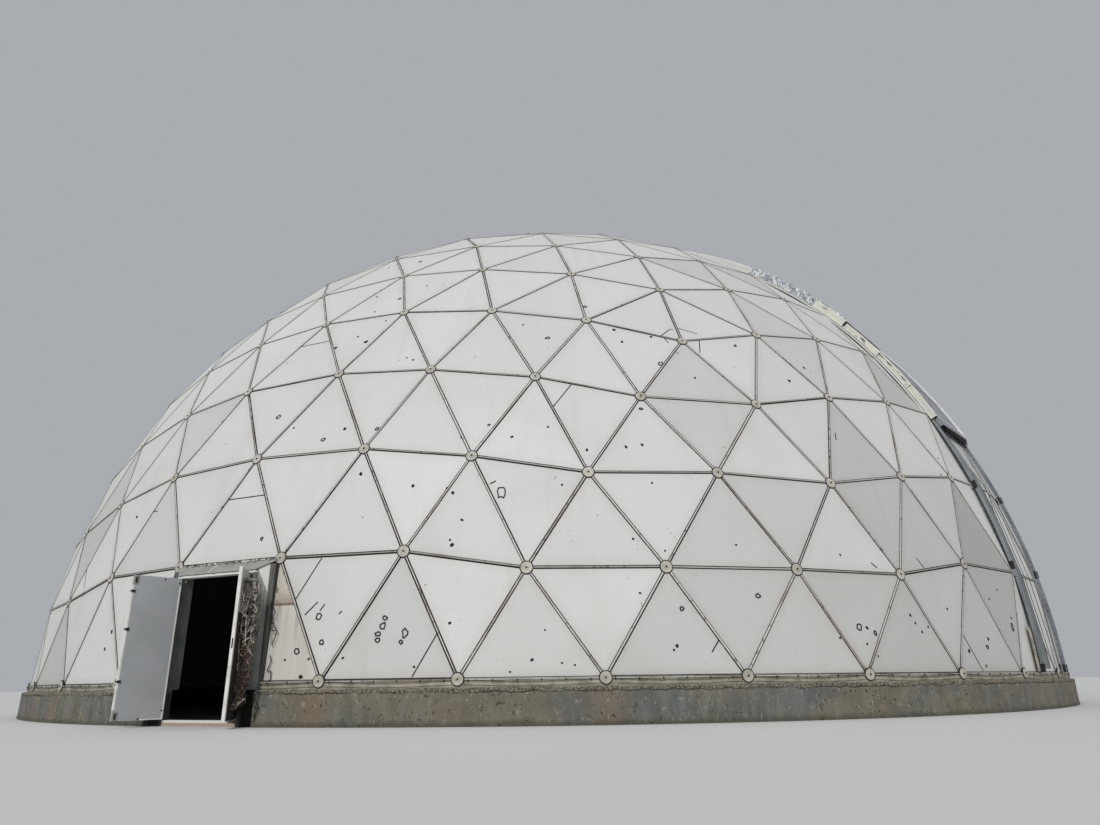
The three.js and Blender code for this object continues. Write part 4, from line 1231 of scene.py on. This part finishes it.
def post_wires():
    """Rusty lattice wire left hanging beside the right post."""
    bm = bmesh.new()
    for depth, radius, pixels in WIRES:
        points = [on_upright(pixel, depth) for pixel in pixels]
        for start, end in zip(points, points[1:]):
            add_rod(bm, start, end, radius)
    finish_piece("post_wires", bm, [WIRE_RUST])


LINER_DEPTH = (-14.90, -14.76)
LINER_FOOT = 0.60
# Depth of the black backs that are painted shade in the recess beside the frame
RECESS_DEPTH = (-14.990, -14.978)
HEADER_FOOT = Vector((0, -15.06, 2.60))
HEADER_HEAD = Vector((0, -14.80, DOORWAY_TOP))
HEADER_FACE = Vector((0, -0.60, 0.80))
HEADER_SCREWS = 15
HEADER_SCREW_Y = -14.812
HEADER_SCREW_DOWN = 0.10
HEADER_SCREW_INSET = 0.05
LINTEL_SCREWS = (-0.93, -0.5, -0.05, 0.42, 0.9)
LINTEL_SCREW_Y = -15.062
LINTEL_SCREW_HEIGHT = 2.575
BEAD_LINE = Vector((0, -14.800, DOORWAY_TOP + 0.012))
BEAD_LUMPS = 90


def portal_trim():
    """Reveal liners whose dark steel is partly painted shade, dark backs beside the frame that are painted
    shade, header joint, screws and the broken bead over the door.
    """
    bm = bmesh.new()
    still = Matrix.Identity(4)
    for side in (-1, 1):
        liner = (side * (DOOR_CLEAR_HALF + 0.002), side * (DOOR_CLEAR_HALF + 0.020))
        recess = (side * (FRAME_HALF + 0.002), side * (DOORWAY_HALF - 0.004))
        # Dark reveal liners, their darkness partly painted shade
        span(bm, still, liner, LINER_DEPTH, (LINER_FOOT, DOOR_HEAD), 2)
        # Black backs in the recess beside the frame, up to the plinth's top, as painted shade
        span(bm, still, recess, RECESS_DEPTH, (0, PLINTH_HEIGHT - 0.004), 5)
    slope = HEADER_FOOT - HEADER_HEAD
    for step in range(HEADER_SCREWS):
        across = (2 * step / (HEADER_SCREWS - 1) - 1) * (DOORWAY_HALF - HEADER_SCREW_INSET)
        spot = Vector((across, HEADER_SCREW_Y, DOORWAY_TOP - 0.004)) + slope * HEADER_SCREW_DOWN
        add_disc(bm, Matrix.Translation(spot) @ facing(HEADER_FACE), 0.012, 0.012, 6, 3)
    for share in LINTEL_SCREWS:
        spot = Matrix.Translation((share * FRAME_HALF, LINTEL_SCREW_Y, LINTEL_SCREW_HEIGHT))
        add_disc(bm, spot @ facing(Vector((0, -1, 0))), 0.010, 0.008, 6, 3)
    joint = Matrix.Translation(Vector((-0.22, -15.06, 2.602)) - slope * 0.5) @ facing(HEADER_FACE)
    add_block(bm, joint, (0.018, slope.length * 0.92, 0.006), 1)
    stud = Matrix.Translation((-DOOR_CLEAR_HALF + 0.006, -14.950, 2.495))
    add_disc(bm, stud @ Matrix.Rotation(math.radians(90), 4, "Y"), 0.020, 0.012, 8, 1)
    for step in range(BEAD_LUMPS):
        along = -DOORWAY_HALF + (step + 0.5) * 2 * DOORWAY_HALF / BEAD_LUMPS
        spot = BEAD_LINE + Vector((along, chance.uniform(-0.012, 0.004), chance.uniform(-0.010, 0.004)))
        size = (chance.uniform(0.028, 0.06), chance.uniform(0.02, 0.035), chance.uniform(0.010, 0.024))
        add_block(bm, Matrix.Translation(spot), size, chance.choice((0, 0, 1, 1, 4)), 0.003)
    finishes = [FRAME_GREY, TRIM_WHITE, DARK_STEEL_AND_SHADE, BOLT, SEALANT, DARK_MARK_AND_SHADE]
    finish_piece("portal_trim", bm, finishes)


# Slit covers
LOWER_JOINTS = (27.2, 31.8, 41.0, 50.0, 58.0)
UPPER_JOINTS = (64.0, 73.0, 82.0, 91.0)
COVER_PROUD = 0.004
COVER_RIM = 0.035
COVER_FOOT_RIM = (0.004, 0.026)
COVER_JOINT = (0.022, 0.006)
COVER_END = (0.040, 0.006)
COVER_END_SETBACK = 0.12
FAR_SHEET = (0.50, 0.15)
FAR_EDGE_RISE = 0.018


def cover_dress(name, body, size, joints):
    """Rims, joints and end strips of one slit cover, and the raised sheets along the far side of its top."""
    bm = bmesh.new()
    start, end, half, top = (size[key] for key in ("start", "end", "half", "top"))
    for side in (-1, 1):
        outer = (side * half, side * (half + COVER_PROUD))
        arc_strip(bm, start, end, outer, (top - COVER_RIM, top + COVER_PROUD))
        arc_strip(bm, start, end, outer, [COVER_FOOT + rise for rise in COVER_FOOT_RIM])
        for angle in joints:
            spot = slit_frame(angle, side * (half + 0.001), (top + COVER_FOOT) / 2)
            add_block(bm, spot, (0.008, 0.014, top - COVER_FOOT - 0.01), 1)
    for angle in joints:
        add_block(bm, slit_frame(angle, 0, top + 0.001), (2 * half, *COVER_JOINT), 1)
    for angle in (start + COVER_END_SETBACK, end - COVER_END_SETBACK):
        add_block(bm, slit_frame(angle, 0, top + 0.001), (2 * half, *COVER_END))
    sheet, edge = (half - width for width in FAR_SHEET)
    arc_strip(bm, start, end, (sheet, edge), (top - 0.001, top + COVER_PROUD))
    arc_strip(bm, start, end, (edge, half), (top, top + FAR_EDGE_RISE))
    set_normals(bm)
    finish_piece(name, bm, [TRIM_WHITE, SEALANT], body)


FLASHING_START = 37.2
FLASHING_TORN = 41.3
FLASHING_END = 50.5


def cover_flashing():
    """Torn flashing on the upper cover's near side, tabs that stand up from its edge, and a black lip that
    is painted shade in the gap at the cover's lower end.
    """
    bm = bmesh.new()
    top = UPPER_COVER["top"]
    side = -(UPPER_COVER["half"] + 0.010)
    angle = FLASHING_TORN
    while angle < FLASHING_END:
        length = chance.uniform(0.5, 1.3)
        low = chance.uniform(COVER_FOOT + 0.004, COVER_FOOT + 0.03)
        arc_strip(bm, angle, angle + length, (side, side + 0.006), (low, top - 0.002), 0, 4)
        angle += length + chance.uniform(0.0, 0.05)
    angle = FLASHING_START
    while angle < FLASHING_END:
        size = (0.004, chance.uniform(0.04, 0.14), chance.uniform(0.020, 0.060))
        spot = slit_frame(angle, side + chance.uniform(0.01, 0.10), top + size[2] / 2 - 0.004)
        lean = Matrix.Rotation(chance.uniform(-0.5, 0.5), 4, "X")
        add_block(bm, spot @ lean, size, chance.choice((0, 0, 1)))
        angle += chance.uniform(0.10, 0.35)
    # Black lip at the upper cover's lower end, painted shade in the gap there
    lip = slit_frame(UPPER_COVER["start"] - 0.08, -UPPER_COVER["half"] + 0.005, 15.085)
    add_block(bm, lip, (0.010, 0.060, 0.125), 2)
    set_normals(bm)
    finish_piece("cover_flashing", bm, [FLASHING, TRIM_WHITE, RUBBER_AND_SHADE], "upper_cover")


# Where the lower cover's sheet has peeled: angle, radius and half length
PEELED_PATCHES = [
    (28.2, 15.09, 0.11), (29.1, 15.10, 0.08), (30.4, 15.09, 0.14), (31.6, 15.08, 0.10), (34.2, 15.07, 0.11),
]


def peeled_patches():
    """Blue-grey patches where the lower cover's cream sheet has peeled."""
    bm = bmesh.new()
    side = -(LOWER_COVER["half"] + 0.002)
    for angle, radius, size in PEELED_PATCHES:
        place = slit_frame(angle, side, radius) @ Matrix.Rotation(math.radians(-90), 4, "Y")
        for vert in add_disc(bm, place @ Matrix.Diagonal((0.30, 1, 1, 1)), size, 0.003, 12):
            vert.co += (vert.co - place.translation) * chance.uniform(-0.35, 0.1)
    set_normals(bm)
    finish_piece("peeled_patches", bm, [APRON_GREY], "lower_cover")


# Ends of the slanted edge: distance across the slit and angle
END_HOOD_NEAR = (-1.18, 22.35)
END_HOOD_FAR = (1.24, 23.0)
CHEEK_FOOT = 15.034
CHEEK_TOP_GAP = 0.006
# The black sheet under the hood's edge is painted shadow: its near side across the slit, and its width
SHADOW_SHEET_NEAR = -0.85
SHADOW_SHEET_WIDTH = 2.02


def between(low, high, share):
    return low + (high - low) * share


def hood_end(across):
    """Angle where the lower cover's top ends, lower beside the near rail."""
    share = (across - END_HOOD_NEAR[0]) / (END_HOOD_FAR[0] - END_HOOD_NEAR[0])
    return between(END_HOOD_NEAR[1], END_HOOD_FAR[1], share)


def cover_end_hood():
    """The slanted end of the lower cover's top sheet, with a grey cheek, and under its edge a black sheet
    that is painted shadow.
    """
    top = LOWER_COVER["top"]
    start = LOWER_COVER["start"]

    def hood(share, rise):
        across = between(END_HOOD_NEAR[0], END_HOOD_FAR[0], share)
        angle = between(hood_end(across), start + 0.1, rise)
        return slit_frame(angle, across, top - 0.004).translation

    def cheek(share, rise):
        angle = between(END_HOOD_NEAR[1], start, share)
        radius = between(CHEEK_FOOT, top - CHEEK_TOP_GAP, rise)
        return slit_frame(angle, END_HOOD_NEAR[0], radius).translation

    # Painted shadow: a black sheet that falls from under the hood's edge
    def painted_shadow_sheet(share, rise):
        fall = 1 - rise
        across = SHADOW_SHEET_NEAR + SHADOW_SHEET_WIDTH * share
        drop = math.degrees((0.010 + 0.14 * share ** 1.3) / SPHERE_RADIUS)
        return slit_frame(hood_end(across) - drop * fall, across, top - 0.008 - 0.065 * fall).translation

    bm = bmesh.new()
    add_sheet(bm, 10, 2, hood)
    add_sheet(bm, 3, 1, cheek, 1)
    add_sheet(bm, 12, 2, painted_shadow_sheet, 2)
    thicken(bm, -0.004)
    finish_piece("cover_end_hood", bm, [COVER_ROOF, GALVANISED, DARK_MARK_AND_SHADE], "lower_cover")


# Slit rails
RAIL_FOOT_ANGLE = 0.4
# Angle where the black strip of painted shadow at the near rail's foot, and the dark strip on the far rail,
# end
RAIL_DARK_END = 25.0
CURB_ANGLES = (24.0, 121.0)
CLAMP_ANGLES = (0.4, 8.7, 16.2)
FLANGE_BOLT_COUNT = 44
FLANGE_BOLT_START = 0.9
FLANGE_BOLT_PITCH = 0.5
APRON_LIFT = 0.0080
APRON_FOOT = 0.35
APRON_TOP = 24.6
APRON_NEAR = (-0.985, -0.42)
APRON_LINES = (-0.36, -0.10, 0.38, 0.86)
APRON_LINE_HALF = 0.012


def rail_dress():
    """A black strip along the near rail's foot as painted shadow, a dark strip on the far rail, clamps on
    the slit rails, white curbs under the covers, and bolts on the flanges.
    """
    bm = bmesh.new()
    # Painted shadow: a black strip where the near rail meets the shell
    arc_strip(bm, RAIL_FOOT_ANGLE, RAIL_DARK_END, (-1.2265, -1.2165), (14.944, 14.960))
    arc_strip(bm, RAIL_FOOT_ANGLE, RAIL_DARK_END, (1.2155, 1.2185), (15.010, 15.0255))
    for side in (-1, 1):
        arc_strip(bm, *CURB_ANGLES, (side * 1.244, side * 1.350), (14.925, 14.963), 2, 240)
        for angle in CLAMP_ANGLES:
            outer = slit_frame(angle, side * 1.240, 14.985)
            inner = slit_frame(angle, side * 1.150, 14.992)
            add_block(bm, outer, (0.044, 0.17, 0.105), 0, 0.010)
            add_block(bm, inner, (0.090, 0.17, 0.040), 0, 0.008)
            add_disc(bm, outer @ Matrix.Translation((0, 0.05, 0.055)), 0.016, 0.018, 6, 1)
        for step in range(FLANGE_BOLT_COUNT):
            angle = FLANGE_BOLT_START + step * FLANGE_BOLT_PITCH
            add_disc(bm, slit_frame(angle, side * 1.16, 14.980), 0.010, 0.014, 6, 1)
    set_normals(bm)
    finish_piece("rail_dress", bm, [RUBBER_AND_SHADE, BOLT, PANEL])


def slit_apron():
    """Grey sheet beside the near rail below the slit, and the thin joints that run up beside it."""
    fields = [(APRON_NEAR, 0.006, APRON_GREY)]
    fields += [((line - APRON_LINE_HALF, line + APRON_LINE_HALF), 0.005, SEALANT) for line in APRON_LINES]
    for number, ((low, high), depth, finish) in enumerate(fields):
        bm = dome_skin(SPHERE_RADIUS + APRON_LIFT)
        for point, outward in slit_planes(low, high, APRON_FOOT, APRON_TOP):
            parts = [*bm.faces, *bm.edges, *bm.verts]
            bmesh.ops.bisect_plane(
                bm, geom=parts, dist=CUT_MARGIN, plane_co=point, plane_no=outward, clear_outer=True,
            )
        thicken(bm, depth)
        finish_piece(f"slit_apron_{number + 1}", bm, [finish])


FLAP_ACROSS = -1.262
FLAP_WIDTH = 0.24
FLAP_RADIUS = 14.937
FLAP_ANGLES = (0.12, 3.62)
# Distance across the slit inside which the sheet is black, as painted shadow
FLAP_SHADOW_EDGE = 1.31


def rail_foot_flap():
    """A loose beige sheet beside the foot of the near rail, raised towards the rail, with the edge there
    black as painted shadow.
    """
    def corner(share, rise):
        across = FLAP_ACROSS - (FLAP_WIDTH - 0.04 * rise) * (1 - share)
        radius = FLAP_RADIUS + 0.020 * share + 0.003 * noise.noise(Vector((rise * 6, share, 0)))
        return slit_frame(between(*FLAP_ANGLES, rise), across, radius).translation

    bm = bmesh.new()
    add_sheet(bm, 5, 10, corner)
    # The edge by the rail is black as painted shadow
    for face in bm.faces:
        in_shadow = abs(slit_coordinates(face.calc_center_median())[0]) < FLAP_SHADOW_EDGE
        face.material_index = 1 if in_shadow else 0
    thicken(bm, -0.004)
    finish_piece("rail_foot_flap", bm, [STRIP, RUBBER_AND_SHADE])


# Stage
FLOOR_RADIUS = 900.0
SKY_STRENGTH = 0.64
SUN_AIM = Vector((0, 0, 5))

# Each sun's name, place, strength and spread in degrees
SUNS = [("key", (13, -50, 40), 1.66, 16), ("fill", (-50, -10, 50), 0.12, 60)]


def add_sun(name, place, strength, spread):
    """A sun that shines from a place onto the dome, with a disc as wide as its spread in degrees."""
    data = bpy.data.lights.new(name, "SUN")
    data.energy = strength
    data.angle = math.radians(spread)
    light = bpy.data.objects.new(name, data)
    turn = (SUN_AIM - Vector(place)).to_track_quat("-Z", "Y").to_matrix().to_4x4()
    light.matrix_world = Matrix.Translation(place) @ turn
    bpy.context.scene.collection.objects.link(light)


def floor_paint():
    paint = Finish("studio_floor", 0.9)
    paint.ground(paint.noise(0.3, 2.0), rgb(214, 213, 210), rgb(218, 217, 214))
    return paint.done()


def add_stage():
    """A pale floor and sky, one soft key sun and a weak one from the left."""
    bm = bmesh.new()
    bmesh.ops.create_circle(bm, cap_ends=True, segments=96, radius=FLOOR_RADIUS)
    mesh = bpy.data.meshes.new("floor")
    bm.to_mesh(mesh)
    bm.free()
    mesh.materials.append(floor_paint())
    floor = bpy.data.objects.new("floor", mesh)
    bpy.context.scene.collection.objects.link(floor)
    world = bpy.data.worlds.new("studio")
    world.use_nodes = True
    background = world.node_tree.nodes["Background"]
    background.inputs["Color"].default_value = rgb(206, 210, 216)
    background.inputs["Strength"].default_value = SKY_STRENGTH
    bpy.context.scene.world = world
    bpy.context.scene.view_settings.view_transform = "Standard"
    for sun in SUNS:
        add_sun(*sun)


def dress_solids():
    """Better finishes on the solids that stay."""
    finishes = {
        "shell_": PANEL, "base_strip_": STRIP, "jamb_": JAMB_STEEL, "portal_side_": UPRIGHT_STEEL,
        "gusset_": TRIM_WHITE, "lintel": LINTEL, "header_panel": FRAME_GREY, "door_sill": THRESHOLD,
        "left_door_leaf": LEAF_GREY, "right_door_leaf": LEAF_GREY, "slit_rail_": GALVANISED,
        "lower_cover_top": COVER_ROOF, "upper_cover_top": COVER_ROOF,
        "lower_cover_side": COVER, "upper_cover_side": COVER,
    }
    for name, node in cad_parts.items():
        for start, material in finishes.items():
            if name.startswith(start):
                node.data.materials.clear()
                node.data.materials.append(material)


add_stage()
dress_solids()
panel_sheets()
seam_net("seam_sealant", SEALANT, SEALANT_LIFT, SEALANT_DEPTH, SEALANT_HALF_WIDTHS)
seam_net("seam_battens", BATTEN, BATTEN_LIFT, BATTEN_DEPTH, BATTEN_HALF_WIDTHS, BATTEN_SLIP)
hub_plates()
panel_marks()
add_plinth()
base_trim()
left_leaf_dress()
right_leaf_dress()
right_leaf_lath()
torn_sheet()
post_wires()
portal_trim()
cover_dress("lower_cover_dress", "lower_cover", LOWER_COVER, LOWER_JOINTS)
cover_dress("upper_cover_dress", "upper_cover", UPPER_COVER, UPPER_JOINTS)
cover_flashing()
peeled_patches()
cover_end_hood()
rail_dress()
slit_apron()
rail_foot_flap()
